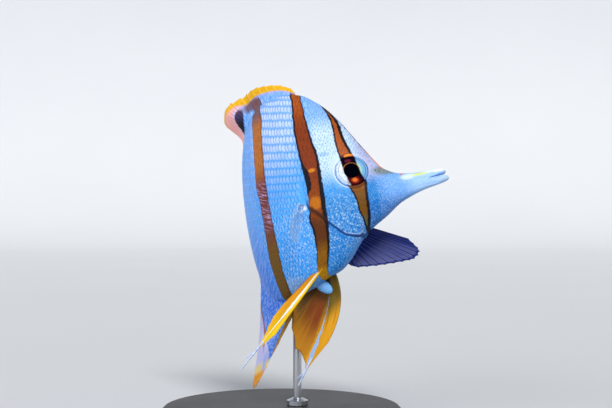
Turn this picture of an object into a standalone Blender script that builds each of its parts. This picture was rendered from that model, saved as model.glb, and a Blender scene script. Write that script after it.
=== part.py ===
# Copperband butterflyfish, a life-size still model on a plain display stand.
# The fish is laid out straight, in millimetres: s runs back from the snout's tip, z runs up,
# and w runs out to the fish's right. placed() then bends that straight fish along its swimming
# curve, banks and pitches it, and stands it over the middle of the base, in metres.

import math

import bmesh
import bpy
from mathutils import Matrix, Vector

MM = 0.001
GAP = 0.3
FIN_GAP = 0.45

# Lengths along the straight fish; the tail fin's longest rays end at 150
STANDARD_LENGTH = 128.0
SNOUT_END = 20.0
TRUNK_END = 93.0

# Lengths of body that are shaped first and then cut back, and how far out a cut reaches
HEAD_BLANK_END = 60.0
GILL_BLANK = (30.0, 64.0)
TRUNK_BLANK_START = 33.0
ROOTS_ALONG = (30.0, 96.0)
GILLS_ALONG = (38.0, 55.7)
CUT_OUT = 30.0

# The swimming pose: heading of the body axis at distances along it, then bank and pitch
HEADINGS = ((0.0, 8.0), (46.0, 8.0), (98.0, 80.0), (150.0, 86.0))
BANK = 15.0
PITCH = 10.5
SNOUT_AT = (68.0, -14.0, 101.0)

# Side profile and thickness of the body without its fins
BACK = (
    (0.0, 1.9), (0.7, 3.3), (2.2, 4.4), (4.2, 4.7), (10.2, 4.7), (18.7, 5.9), (24.9, 9.2),
    (31.3, 19.1), (39.7, 34.2), (46.0, 42.6), (53.1, 48.4), (62.0, 51.4), (72.0, 51.4),
    (82.0, 48.0), (92.0, 41.0), (102.0, 31.0), (112.0, 19.5), (120.0, 10.5), (128.0, 7.2),
)
BELLY = (
    (0.0, -0.5), (0.7, -1.2), (2.4, -1.7), (10.2, -2.8), (20.4, -5.8), (27.7, -10.2),
    (35.3, -14.4), (40.7, -19.2), (45.4, -24.5), (50.7, -28.3), (56.0, -29.6), (65.0, -32.5),
    (76.0, -34.0), (86.0, -32.0), (96.0, -26.0), (106.0, -18.0), (116.0, -9.5), (122.0, -5.2),
    (128.0, -4.4),
)
HALF_WIDTH = (
    (0.0, 1.1), (0.8, 1.9), (2.2, 2.4), (3.2, 2.4), (4.2, 2.1), (7.0, 2.3), (10.0, 2.6),
    (18.0, 3.4), (25.0, 5.2), (32.0, 7.4), (40.0, 9.4), (50.0, 11.0), (58.0, 11.3),
    (68.0, 10.6), (80.0, 8.8), (92.0, 6.6), (104.0, 4.6), (114.0, 3.1), (122.0, 2.2),
    (128.0, 1.8),
)
WIDEST_LEVEL = ((0.0, 1.4), (20.0, 1.0), (40.0, 2.0), (62.0, 2.0), (92.0, 4.0), (128.0, 1.4))
BACK_EDGE = ((0.0, 0.2), (48.0, 0.2), (54.0, 1.2), (110.0, 1.1), (128.0, 0.8))
BELLY_EDGE = ((0.0, 0.2), (68.0, 0.2), (76.0, 1.2), (110.0, 1.1), (128.0, 0.8))
BACK_TAPER = ((0.0, 0.8), (30.0, 1.0), (60.0, 1.25), (128.0, 1.2))
BELLY_TAPER = ((0.0, 0.8), (30.0, 0.8), (60.0, 0.8), (90.0, 1.1), (128.0, 1.1))
THINNEST_EDGE = 0.1
BLUNTEST_EDGE = 0.8
SECTION_SIDES = 12
SECTION_STEP = 3.0
LIP_STATIONS = (0.0, 0.3, 0.8, 1.5, 2.3, 3.2, 4.2, 5.4)

# The mouth is a slot through the snout's tip, and each nostril pair a pair of small pits
MOUTH_LEVEL = 1.4
MOUTH_BACK = 7.4
MOUTH_OPEN = 0.8
MOUTH_CORNER = 0.3
SLOT_FRONT = -2.0
SLOT_OUT = 8.0
NOSTRILS = ((28.2, 8.2, 0.6), (29.3, 10.4, 0.5))

# Eyes: place on the head, and size; each bulges from a socket with a raised rim
EYE_AT = (37.3, 9.2)
EYE_RADIUS = 6.6
EYE_DEPTH = 3.8
EYE_SUNK = 1.4
RIM_RADIUS = 7.0
RIM_THICKNESS = 0.55
SLOPE_STEP = 0.5

# The head's rear edge from nape to throat, and the front edge of the gill cover before it
HEAD_EDGE = (
    (51.5, 70.0), (51.5, 40.0), (53.0, 28.0), (54.5, 16.0), (55.3, 6.0), (55.2, -1.5),
    (52.0, -6.9), (49.0, -10.9), (44.5, -15.4), (40.0, -16.4), (37.4, -15.2), (35.5, -18.0),
    (34.0, -40.0),
)
GILL_FRONT = (
    (56.0, 17.0), (50.0, 16.0), (47.2, 13.0), (46.2, 8.0), (45.6, 2.0), (44.2, -4.0),
    (41.6, -9.5), (38.4, -13.6), (36.4, -17.0),
)
GILL_PROUD = 0.4
GILL_THICKNESS = 1.6
GILL_INNERMOST = 1.1

# Median fins: where rays root along the back or belly, and where they end as (root, s, z)
DORSAL_SPINES = 9
DORSAL_SPINE_TIPS = (
    (54.8, 57.4, 53.4), (58.4, 61.6, 56.2), (65.7, 70.4, 59.3), (73.0, 79.2, 61.0),
    (84.0, 93.0, 61.8),
)
DORSAL_RAYS = 28
DORSAL_RAY_TIPS = (
    (84.5, 93.5, 61.7), (90.0, 99.0, 60.8), (95.0, 103.6, 58.4), (100.0, 106.8, 54.0),
    (104.0, 108.6, 46.0), (110.0, 113.0, 35.0), (116.0, 118.6, 22.0), (121.5, 123.2, 10.6),
)
ANAL_SPINES = 3
ANAL_SPINE_TIPS = ((76.4, 79.2, -42.5), (78.6, 84.4, -50.6), (80.8, 90.0, -58.2))
ANAL_RAYS = 20
ANAL_RAY_TIPS = (
    (81.4, 90.7, -58.9), (86.0, 94.6, -64.2), (89.5, 97.4, -65.2), (94.0, 101.2, -63.6),
    (99.0, 105.6, -58.0), (105.0, 110.0, -49.0), (111.0, 114.6, -37.0), (117.0, 119.2, -23.0),
    (122.0, 123.6, -9.0),
)
TAIL_RAYS = 17
TAIL_RAY_TIPS = (
    (-3.9, 147.6, -14.0), (-3.0, 149.2, -11.6), (1.4, 150.0, 1.4), (5.8, 149.2, 14.4),
    (6.7, 147.6, 16.8),
)

# Thickness of fins, from half sizes at the root, along a ray and in the membrane
FIN_ROOT_HALF = 1.0
PAIRED_ROOT_HALF = 0.8
SPINE_HALF = (0.75, 0.35)
RAY_HALF = (0.5, 0.3)
MEMBRANE_HALF = 0.27
ROOT_SHARE = 0.3
FIN_ROWS = 7
SPINE_MARGIN = (0.98, 0.93, 0.88)
RAY_NOTCH = 0.985

# The upper dorsal fin and the whole anal fin lean out to the right, on the outside of the bend
DORSAL_LEAN = 7.0
DORSAL_LEAN_ALONG = (84.0, 97.0)
DORSAL_LEAN_UP = (46.0, 57.0)
ANAL_LEAN_DEPTH = 5.0
ANAL_LEAN = ((76.0, 0.4), (84.0, 0.44), (100.0, 0.4), (115.0, 0.27), (122.0, 0.25))

# Paired fins, each held rigidly at a station of the body: places are (back, z, w) from there
PECTORAL_STATION = 56.7
PECTORAL_ROOT = ((0.3, -0.3, 10.0), (1.4, -5.6, 10.0))
PECTORAL_LAG = 1.4
PECTORAL_RAYS = 15
RIGHT_PECTORAL_TIPS = (
    (0.0, (-10.0, -11.0, 40.0)), (0.25, (-8.7, -15.8, 46.0)), (0.5, (-5.8, -18.3, 42.0)),
    (0.7, (-3.4, -19.9, 36.0)), (0.88, (-0.9, -19.0, 26.0)), (1.0, (1.1, -16.1, 18.0)),
)
LEFT_PECTORAL_TIPS = (
    (0.0, (-28.5, -17.0, -27.0)), (0.2, (-31.2, -22.6, -30.0)), (0.4, (-27.6, -25.9, -28.0)),
    (0.65, (-17.4, -26.2, -22.0)), (0.85, (-8.6, -25.8, -16.0)), (1.0, (-3.0, -22.6, -13.5)),
)
PELVIC_STATION = 57.0
PELVIC_ROOT = ((-1.6, -26.2, 4.2), (1.8, -26.4, 4.6))
RIGHT_PELVIC_TIPS = (
    (24.0, -48.2, 6.3), (41.3, -58.9, 8.0), (34.8, -52.2, 8.0), (28.9, -46.5, 7.5),
    (24.0, -41.4, 7.0), (17.6, -36.6, 6.5),
)
LEFT_PELVIC_TIPS = (
    (7.7, -54.6, -7.0), (24.8, -68.7, -8.0), (21.7, -61.0, -7.5), (22.7, -53.3, -7.0),
    (22.4, -45.8, -6.5), (20.4, -39.5, -6.0),
)
RIGHT_PELVIC_BOW = 0.0
LEFT_PELVIC_BOW = 4.6
PELVIC_ROWS = 9

# Display stand
BASE_RADIUS = 50.0
BASE_HEIGHT = 6.0
BASE_CHAMFER = 1.2
BASE_SIDES = 48
ROD_AT = (6.5, 2.4)
ROD_RADIUS = 1.75
ROD_SIDES = 16
ROD_TOP = 66.0
COLLAR_RADIUS = 4.5
COLLAR_HEIGHT = 3.0
COLLAR_EDGE = 1.8

# Faces that meet at more than these angles, in degrees, keep a crisp edge between them
SKIN_CREASE = 50.0
STAND_CREASE = 30.0

# Finishes: colour, roughness, metallic
FINISHES = {
    "snout": ((0.42, 0.62, 0.93), 0.42, 0.0),
    "head": ((0.34, 0.56, 0.92), 0.42, 0.0),
    "gill_cover": ((0.26, 0.5, 0.88), 0.4, 0.0),
    "trunk": ((0.3, 0.53, 0.92), 0.42, 0.0),
    "tail_stalk": ((0.3, 0.48, 0.88), 0.42, 0.0),
    "eye": ((0.03, 0.03, 0.04), 0.12, 0.0),
    "dorsal_fin": ((0.72, 0.38, 0.09), 0.5, 0.0),
    "anal_fin": ((0.62, 0.5, 0.42), 0.5, 0.0),
    "tail_fin": ((0.6, 0.68, 0.8), 0.45, 0.0),
    "pectoral": ((0.35, 0.45, 0.7), 0.4, 0.0),
    "pelvic": ((0.5, 0.3, 0.05), 0.5, 0.0),
    "stand_rod": ((0.55, 0.56, 0.58), 0.3, 1.0),
    "stand_base": ((0.03, 0.03, 0.035), 0.45, 0.0),
}


def smooth(knots, x):
    """The height at x of a curve through the knots that never overshoots them."""
    if x <= knots[0][0]:
        return knots[0][1]
    if x >= knots[-1][0]:
        return knots[-1][1]
    i = next(k for k in range(len(knots) - 1) if x <= knots[k + 1][0])
    slopes = [(b[1] - a[1]) / (b[0] - a[0]) for a, b in zip(knots[:-1], knots[1:])]

    def tangent(k):
        if k == 0 or k == len(knots) - 1:
            return slopes[min(k, len(slopes) - 1)]
        before, after = slopes[k - 1], slopes[k]
        return 0.0 if before * after <= 0 else 2 * before * after / (before + after)

    (x0, y0), (x1, y1) = knots[i], knots[i + 1]
    width = x1 - x0
    t = (x - x0) / width
    return (
        y0 * (2 * t**3 - 3 * t**2 + 1)
        + y1 * (3 * t**2 - 2 * t**3)
        + tangent(i) * width * (t**3 - 2 * t**2 + t)
        + tangent(i + 1) * width * (t**3 - t**2)
    )


def ramp(start, end, x):
    """Rises smoothly from 0 at start to 1 at end."""
    t = min(max((x - start) / (end - start), 0.0), 1.0)
    return t * t * (3 - 2 * t)


# Where straight-frame places lie in the posed model


def axis_point(s):
    """Where the body axis is after s millimetres, and its heading there in radians."""
    x = y = 0.0
    for (s0, a0), (s1, a1) in zip(HEADINGS[:-1], HEADINGS[1:]):
        start, end = math.radians(a0), math.radians(a1)
        share = (min(s, s1) - s0) / (s1 - s0)
        here = start + (end - start) * share
        if abs(end - start) < 1e-9:
            x -= math.cos(start) * (min(s, s1) - s0)
            y += math.sin(start) * (min(s, s1) - s0)
        else:
            radius = (s1 - s0) / (end - start)
            x -= radius * (math.sin(here) - math.sin(start))
            y += radius * (math.cos(start) - math.cos(here))
        if s <= s1:
            break
    return x, y, here


def pose_matrix():
    """The turn that pitches the level fish snout up, and banks it."""
    bank = Matrix.Rotation(math.radians(-BANK), 3, "X")
    pitch = Matrix.Rotation(math.radians(-PITCH), 3, "Y")
    return pitch @ bank


POSE = pose_matrix()


def turned(x, y, z):
    """A point of the level fish, taken from its snout, in the posed fish's place in metres."""
    return (POSE @ Vector((x, y, z)) + Vector(SNOUT_AT)) * MM


def placed(s, z, w):
    """A point of the straight fish, in its place in the posed model, in metres."""
    x, y, heading = axis_point(s)
    return turned(x - w * math.sin(heading), y - w * math.cos(heading), z)


def held(station, back, z, w):
    """A point of what the body holds rigidly at a station, in its place in the posed model."""
    x, y, heading = axis_point(station)
    x -= math.cos(heading) * back + w * math.sin(heading)
    y += math.sin(heading) * back - w * math.cos(heading)
    return turned(x, y, z)


# The body's surface


def section_shape(s, upper, spread):
    """The reach, half width, edge and taper of the body's upper or lower half at s."""
    level = smooth(WIDEST_LEVEL, s)
    reach = smooth(BACK, s) + spread - level if upper else level - smooth(BELLY, s) + spread
    half = smooth(HALF_WIDTH, s) + spread
    edge = smooth(BACK_EDGE if upper else BELLY_EDGE, s) + spread
    edge = max(min(edge, half * BLUNTEST_EDGE), THINNEST_EDGE)
    return reach, half, edge, smooth(BACK_TAPER if upper else BELLY_TAPER, s)


def section(s, spread=0.0):
    """The points (z, w) of the body's right half at s, from belly to back."""
    level = smooth(WIDEST_LEVEL, s)
    points = []
    for i in range(SECTION_SIDES + 1):
        a = math.radians(-90 + 180 * i / SECTION_SIDES)
        reach, half, edge, taper = section_shape(s, a > 0, spread)
        width = edge + (half - edge) * max(math.cos(a), 0.0) ** taper
        points.append((level + reach * math.sin(a), width))
    return points


def flank(s, z):
    """How far out the right flank is at s and height z."""
    level = smooth(WIDEST_LEVEL, s)
    reach, half, edge, taper = section_shape(s, z > level, 0.0)
    rise = min(abs(z - level) / reach, 1.0)
    return edge + (half - edge) * math.sqrt(1 - rise * rise) ** taper


def flank_normal(s, z):
    """The unit vector (s, w, z) that points out of the right flank."""
    along = (flank(s + SLOPE_STEP, z) - flank(s - SLOPE_STEP, z)) / (2 * SLOPE_STEP)
    up = (flank(s, z + SLOPE_STEP) - flank(s, z - SLOPE_STEP)) / (2 * SLOPE_STEP)
    return Vector((-along, 1.0, -up)).normalized()


def stations(start, end):
    """Evenly spaced places along the body, with one at each end."""
    count = max(1, round((end - start) / SECTION_STEP))
    return [start + (end - start) * i / count for i in range(count + 1)]


def loft(places, spread=0.0):
    """A closed straight-frame mesh of the body between the first and last of the places."""
    mesh = bmesh.new()
    rings = []
    for s in places:
        half = section(s, spread)
        ring = [(z, w) for z, w in half] + [(z, -w) for z, w in reversed(half)]
        rings.append([mesh.verts.new((s, w, z)) for z, w in ring])
    for before, after in zip(rings[:-1], rings[1:]):
        for i in range(len(before)):
            j = (i + 1) % len(before)
            mesh.faces.new((before[i], after[i], after[j], before[j]))
    mesh.faces.new(list(reversed(rings[0])))
    mesh.faces.new(rings[-1])
    face_outward(mesh)
    return mesh


# Objects and Booleans


def as_object(name, mesh):
    """Ends the bmesh and returns it as an object of the scene."""
    data = bpy.data.meshes.new(name)
    mesh.to_mesh(data)
    mesh.free()
    made = bpy.data.objects.new(name, data)
    bpy.context.scene.collection.objects.link(made)
    return made


def face_outward(mesh):
    """Turns every face of a closed mesh outward."""
    bmesh.ops.recalc_face_normals(mesh, faces=mesh.faces)
    if mesh.calc_volume(signed=True) < 0:
        bmesh.ops.reverse_faces(mesh, faces=mesh.faces)


def remove(obj):
    """Removes the object with its mesh."""
    data = obj.data
    bpy.data.objects.remove(obj)
    bpy.data.meshes.remove(data)


def keep_largest(mesh):
    """Drops every closed surface of the mesh but the one with the largest area."""
    islands, seen = [], set()
    for first in mesh.faces:
        if first.index in seen:
            continue
        island, waiting = [], [first]
        seen.add(first.index)
        while waiting:
            face = waiting.pop()
            island.append(face)
            for edge in face.edges:
                for other in edge.link_faces:
                    if other.index not in seen:
                        seen.add(other.index)
                        waiting.append(other)
        islands.append(island)
    islands.sort(key=lambda island: sum(face.calc_area() for face in island))
    for island in islands[:-1]:
        bmesh.ops.delete(mesh, geom=island, context="FACES")


def combine(obj, operation, others):
    """Applies one Boolean of the object with the others, and removes the others."""
    group = bpy.data.collections.new("pieces")
    for other in others:
        group.objects.link(other)
    boolean = obj.modifiers.new("combine", "BOOLEAN")
    boolean.operation = operation
    boolean.operand_type = "COLLECTION"
    boolean.collection = group
    boolean.solver = "EXACT"
    graph = bpy.context.evaluated_depsgraph_get()
    mesh = bmesh.new()
    mesh.from_object(obj, graph)
    obj.modifiers.clear()
    mesh.faces.ensure_lookup_table()
    mesh.faces.index_update()
    keep_largest(mesh)
    mesh.to_mesh(obj.data)
    mesh.free()
    bpy.data.collections.remove(group)
    for other in others:
        remove(other)
    return obj


def bend(obj):
    """Moves a straight-frame object into the posed fish's place."""
    mesh = bmesh.new()
    mesh.from_mesh(obj.data)
    bmesh.ops.triangulate(mesh, faces=mesh.faces)
    for vertex in mesh.verts:
        s, w, z = vertex.co
        vertex.co = placed(s, z, w)
    face_outward(mesh)
    mesh.to_mesh(obj.data)
    mesh.free()
    return obj


def finish(obj, finish_name, crease=SKIN_CREASE):
    """Gives the object its material and its shading."""
    material = bpy.data.materials.get(finish_name)
    if material is None:
        colour, roughness, metallic = FINISHES[finish_name]
        material = bpy.data.materials.new(finish_name)
        material.use_nodes = True
        shader = material.node_tree.nodes["Principled BSDF"]
        shader.inputs["Base Color"].default_value = (*colour, 1.0)
        shader.inputs["Roughness"].default_value = roughness
        shader.inputs["Metallic"].default_value = metallic
    obj.data.materials.clear()
    obj.data.materials.append(material)
    obj.data.shade_smooth()
    obj.data.set_sharp_from_angle(angle=math.radians(crease))
    return obj


# Cutters in the straight frame


def prism(name, outline, w_start, w_end):
    """A straight-sided solid of an outline in (s, z), from one distance out to another."""
    mesh = bmesh.new()
    near = [mesh.verts.new((s, w_start, z)) for s, z in outline]
    far = [mesh.verts.new((s, w_end, z)) for s, z in outline]
    mesh.faces.new(near)
    mesh.faces.new(list(reversed(far)))
    for i in range(len(outline)):
        j = (i + 1) % len(outline)
        mesh.faces.new((near[i], far[i], far[j], near[j]))
    face_outward(mesh)
    return as_object(name, mesh)


def shifted(path, distance):
    """The (s, z) path moved sideways, to the left of its own direction."""
    moved = []
    for i, (s, z) in enumerate(path):
        before, after = Vector(path[max(i - 1, 0)]), Vector(path[min(i + 1, len(path) - 1)])
        step = (after - before).normalized()
        moved.append((s - step.y * distance, z + step.x * distance))
    return moved


def behind_head(distance, reach=90.0):
    """The outline of all that lies behind the head's rear edge, which is moved back a distance."""
    edge = shifted(HEAD_EDGE, distance)
    return edge + [(reach, edge[-1][1]), (reach, edge[0][1])]


def before_head_edge(distance, reach=15.0):
    """The outline of all that lies before the head's rear edge, which is moved back a distance."""
    edge = shifted(HEAD_EDGE, distance)
    return edge + [(reach, edge[-1][1]), (reach, edge[0][1])]


def gill_outline(distance, reach=60.0):
    """The outline of a gill cover and what is behind it, with its front edge moved back."""
    edge = shifted(GILL_FRONT, distance)
    return edge + [(reach, edge[-1][1]), (reach, edge[0][1])]


def gill_prism(name, side, distance, innermost):
    """A gill cover's outline as a solid, from near the body's middle out past one flank."""
    start, end = sorted((side * innermost, side * CUT_OUT))
    return prism(name, gill_outline(distance), start, end)


def ball(name, centre, radii, normal):
    """An ellipsoid whose last radius lies along the normal, in (s, w, z)."""
    mesh = bmesh.new()
    bmesh.ops.create_uvsphere(mesh, u_segments=20, v_segments=12, radius=1.0)
    turn = Vector((0, 0, 1)).rotation_difference(normal).to_matrix().to_4x4()
    size = Matrix.Diagonal((*radii, 1.0))
    bmesh.ops.transform(mesh, matrix=Matrix.Translation(centre) @ turn @ size, verts=mesh.verts)
    face_outward(mesh)
    return as_object(name, mesh)


def on_flank(s, z, side, out=0.0):
    """The place (s, w, z) on the right (side 1) or left (side -1) flank, and its normal there."""
    normal = flank_normal(s, z)
    place = Vector((s, flank(s, z), z)) + normal * out
    return Vector((place.x, place.y * side, place.z)), Vector((normal.x, normal.y * side, normal.z))


def eye_ball(name, side, grown=0.0):
    """One eye, or with some growth the socket round it."""
    place, normal = on_flank(*EYE_AT, side, -EYE_SUNK)
    radii = (EYE_RADIUS + grown, EYE_RADIUS + grown, EYE_DEPTH + grown)
    return ball(name, place, radii, normal)


def eye_rim(name, side, around=28, sides=6):
    """A raised ring that follows the head's surface about the eye."""
    mesh = bmesh.new()
    rings = []
    for i in range(around):
        a = 2 * math.pi * i / around
        outward = Vector((math.cos(a), 0.0, math.sin(a)))
        s, z = EYE_AT[0] + RIM_RADIUS * outward.x, EYE_AT[1] + RIM_RADIUS * outward.z
        centre, normal = on_flank(s, z, side)
        ring = []
        for k in range(sides):
            b = 2 * math.pi * k / sides
            offset = outward * math.cos(b) + normal * math.sin(b)
            ring.append(mesh.verts.new(centre + offset * RIM_THICKNESS))
        rings.append(ring)
    for i in range(around):
        before, after = rings[i], rings[(i + 1) % around]
        for k in range(sides):
            j = (k + 1) % sides
            mesh.faces.new((before[k], after[k], after[j], before[j]))
    face_outward(mesh)
    return as_object(name, mesh)


# Body nodes


def make_snout():
    places = list(LIP_STATIONS) + stations(MOUTH_BACK, SNOUT_END - GAP / 2)
    snout = as_object("snout", loft(places))
    high, low = MOUTH_OPEN / 2, MOUTH_CORNER / 2
    slot = [
        (SLOT_FRONT, MOUTH_LEVEL - high), (MOUTH_BACK, MOUTH_LEVEL - low),
        (MOUTH_BACK, MOUTH_LEVEL + low), (SLOT_FRONT, MOUTH_LEVEL + high),
    ]
    combine(snout, "DIFFERENCE", [prism("slot", slot, -SLOT_OUT, SLOT_OUT)])
    finish(bend(snout), "snout")


def gill_pocket(side):
    """What the head gives up for one gill cover and the gap round it."""
    pocket = gill_prism("pocket", side, -GAP / 2, GILL_INNERMOST - GAP / 2)
    core = as_object("core", loft(stations(*GILL_BLANK), GILL_PROUD - GILL_THICKNESS - GAP))
    return combine(pocket, "DIFFERENCE", [core])


def make_head():
    head = as_object("head", loft(stations(SNOUT_END + GAP / 2, HEAD_BLANK_END)))
    combine(head, "UNION", [eye_rim("rim", side) for side in (1, -1)])
    cutters = [prism("rear", behind_head(-GAP / 2), -CUT_OUT, CUT_OUT)]
    for side in (1, -1):
        cutters.append(eye_ball("socket", side, GAP))
        for s, z, radius in NOSTRILS:
            place, normal = on_flank(s, z, side)
            cutters.append(ball("nostril", place, (radius, radius, radius), normal))
    combine(head, "DIFFERENCE", cutters)
    for side in (1, -1):
        combine(head, "DIFFERENCE", [gill_pocket(side)])
    finish(bend(head), "head")


def make_gill_cover(name, side):
    cover = as_object(name, loft(stations(*GILL_BLANK), GILL_PROUD))
    combine(cover, "INTERSECT", [gill_prism("shape", side, GAP / 2, GILL_INNERMOST + GAP / 2)])
    core = as_object("core", loft(stations(*GILL_BLANK), GILL_PROUD - GILL_THICKNESS))
    rear = prism("rear", behind_head(-GAP / 2), -CUT_OUT, CUT_OUT)
    combine(cover, "DIFFERENCE", [core])
    combine(cover, "DIFFERENCE", [rear])
    finish(bend(cover), "gill_cover")


def make_eye(name, side):
    finish(bend(eye_ball(name, side)), "eye")


def make_trunk():
    trunk = as_object("trunk", loft(stations(TRUNK_BLANK_START, TRUNK_END - GAP / 2)))
    front = prism("front", before_head_edge(GAP / 2), -CUT_OUT, CUT_OUT)
    combine(trunk, "DIFFERENCE", [front])
    finish(bend(trunk), "trunk")


def make_tail_stalk():
    places = stations(TRUNK_END + GAP / 2, STANDARD_LENGTH)
    finish(bend(as_object("tail_stalk", loft(places))), "tail_stalk")


# Fins


def sheet(name, columns):
    """A closed membrane from columns of (place, half thickness), each from root to margin."""
    mesh = bmesh.new()
    last, rows = len(columns) - 1, len(columns[0])
    faces_of = {1: [], -1: []}
    for i, column in enumerate(columns):
        before, after = columns[max(i - 1, 0)], columns[min(i + 1, last)]
        strips = {1: [], -1: []}
        for j, (place, half) in enumerate(column):
            along = column[min(j + 1, rows - 1)][0] - column[max(j - 1, 0)][0]
            normal = along.cross(after[j][0] - before[j][0]).normalized()
            for side, strip in strips.items():
                strip.append(mesh.verts.new(place + normal * half * side))
        for side, strip in strips.items():
            faces_of[side].append(strip)

    def band(a, b, c, d):
        mesh.faces.new((a, b, c))
        mesh.faces.new((a, c, d))

    for grid in faces_of.values():
        for i in range(last):
            for j in range(rows - 1):
                band(grid[i][j], grid[i + 1][j], grid[i + 1][j + 1], grid[i][j + 1])
    rim = [(i, 0) for i in range(last)] + [(last, j) for j in range(rows - 1)]
    rim += [(i, rows - 1) for i in range(last, 0, -1)] + [(0, j) for j in range(rows - 1, 0, -1)]
    front, back = faces_of[1], faces_of[-1]
    for (i, j), (k, m) in zip(rim, rim[1:] + rim[:1]):
        band(front[i][j], front[k][m], back[k][m], back[i][j])
    face_outward(mesh)
    return as_object(name, mesh)


def half_thickness(share, root_half, ray_half):
    """Half a fin's thickness at a share of the way out, along a ray or, with None, between."""
    thin = MEMBRANE_HALF
    if ray_half is not None:
        thin = ray_half[0] + (ray_half[1] - ray_half[0]) * share
    return root_half + (thin - root_half) * ramp(0.0, ROOT_SHARE, share)


def median_column(root, tip, lean, ray_half, length=1.0):
    """A column of an upright fin, from its root to a share of the way to its tip, in (s, w, z)."""
    column = []
    for j in range(FIN_ROWS):
        share = length * j / (FIN_ROWS - 1)
        s, z = (a + (b - a) * share for a, b in zip(root, tip))
        place = Vector((s, lean(s, z), z))
        column.append((place, half_thickness(share, FIN_ROOT_HALF, ray_half)))
    return column


def spread_between(knots, u):
    """The (root, s, z) a share u of the way along knots of that kind."""
    root = knots[0][0] + (knots[-1][0] - knots[0][0]) * u
    return root, smooth([k[:2] for k in knots], root), smooth([(k[0], k[2]) for k in knots], root)


def spine_columns(count, knots, root_level, lean):
    """Columns of a spiny fin: each spine, then the membrane that falls away behind it."""
    columns = []
    parts = len(SPINE_MARGIN) + 1
    for i in range((count - 1) * parts + 1):
        root, s, z = spread_between(knots, i / ((count - 1) * parts))
        behind = i % parts
        length = 1.0 if behind == 0 else SPINE_MARGIN[behind - 1]
        ray_half = SPINE_HALF if behind == 0 else None
        columns.append(median_column((root, root_level(root)), (s, z), lean, ray_half, length))
    return columns


def ray_columns(count, knots, root_level, lean):
    """Columns of a soft fin: rays with a membrane column, barely notched, between each two."""
    columns = []
    for i in range(2 * count - 1):
        root, s, z = spread_between(knots, i / (2 * count - 2))
        is_ray = i % 2 == 0
        length = 1.0 if is_ray else RAY_NOTCH
        ray_half = RAY_HALF if is_ray else None
        columns.append(median_column((root, root_level(root)), (s, z), lean, ray_half, length))
    return columns


def over_back(s):
    """The level of the dorsal fin's roots."""
    return smooth(BACK, s) + FIN_GAP


def under_belly(s):
    """The level of the anal fin's roots."""
    return smooth(BELLY, s) - FIN_GAP


def dorsal_lean(s, z):
    """How far the dorsal fin leans out to the right at s and z."""
    return DORSAL_LEAN * ramp(*DORSAL_LEAN_ALONG, s) * ramp(*DORSAL_LEAN_UP, z)


def anal_lean(s, z):
    """How far the anal fin leans out to the right at s and z."""
    return max(under_belly(s) - ANAL_LEAN_DEPTH - z, 0.0) * smooth(ANAL_LEAN, s)


def make_median_fins():
    columns = spine_columns(DORSAL_SPINES, DORSAL_SPINE_TIPS, over_back, dorsal_lean)
    finish(bend(sheet("dorsal_fin_spiny", columns)), "dorsal_fin")
    columns = ray_columns(DORSAL_RAYS, DORSAL_RAY_TIPS, over_back, dorsal_lean)
    finish(bend(sheet("dorsal_fin_soft", columns)), "dorsal_fin")
    columns = spine_columns(ANAL_SPINES, ANAL_SPINE_TIPS, under_belly, anal_lean)
    finish(bend(sheet("anal_fin_spiny", columns)), "anal_fin")
    columns = ray_columns(ANAL_RAYS, ANAL_RAY_TIPS, under_belly, anal_lean)
    finish(bend(sheet("anal_fin_soft", columns)), "anal_fin")


def make_tail_fin():
    columns = []
    for i in range(2 * TAIL_RAYS - 1):
        level, s, z = spread_between(TAIL_RAY_TIPS, i / (2 * TAIL_RAYS - 2))
        is_ray = i % 2 == 0
        length = 1.0 if is_ray else RAY_NOTCH
        ray_half = RAY_HALF if is_ray else None
        root = (STANDARD_LENGTH + GAP, level)
        columns.append(median_column(root, (s, z), lambda s, z: 0.0, ray_half, length))
    finish(bend(sheet("tail_fin", columns)), "tail_fin")


def clearance_body():
    """The posed body grown by the gap, which trims whatever is rooted in it."""
    return bend(as_object("clearance", loft(stations(*ROOTS_ALONG), GAP)))


def clearance_gills():
    """The posed gill covers grown by the gap, as one band round the head's rear."""
    return bend(as_object("clearance", loft(stations(*GILLS_ALONG), GILL_PROUD + GAP)))


def held_sheet(name, station, columns):
    """A sheet laid out in (back, w, z) from a station, in its place and trimmed to the body."""
    fin = sheet(name, columns)
    for vertex in fin.data.vertices:
        back, w, z = vertex.co
        vertex.co = held(station, back, z, w)
    return combine(fin, "DIFFERENCE", [clearance_body(), clearance_gills()])


def paired_column(root, tip, bow, ray_half, rows, length=1.0, lag=1.0):
    """A column of a paired fin from (back, z, w) places, bowed forward in its middle."""
    column = []
    for j in range(rows):
        share = length * j / (rows - 1)
        back, z = (a + (b - a) * share**lag for a, b in zip(root[:2], tip[:2]))
        w = root[2] + (tip[2] - root[2]) * share
        place = Vector((back - 4 * bow * share * (1 - share), w, z))
        column.append((place, half_thickness(share, PAIRED_ROOT_HALF, ray_half)))
    return column


def make_pectoral(name, side, tips):
    columns = []
    for i in range(2 * PECTORAL_RAYS - 1):
        u = i / (2 * PECTORAL_RAYS - 2)
        tip = [smooth([(share, place[k]) for share, place in tips], u) for k in range(3)]
        root = [a + (b - a) * u for a, b in zip(*PECTORAL_ROOT)]
        root[2] *= side
        is_ray = i % 2 == 0
        length = 1.0 if is_ray else RAY_NOTCH
        ray_half = RAY_HALF if is_ray else None
        columns.append(
            paired_column(root, tip, 0.0, ray_half, FIN_ROWS, length, PECTORAL_LAG)
        )
    finish(held_sheet(name, PECTORAL_STATION, columns), "pectoral")


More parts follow.
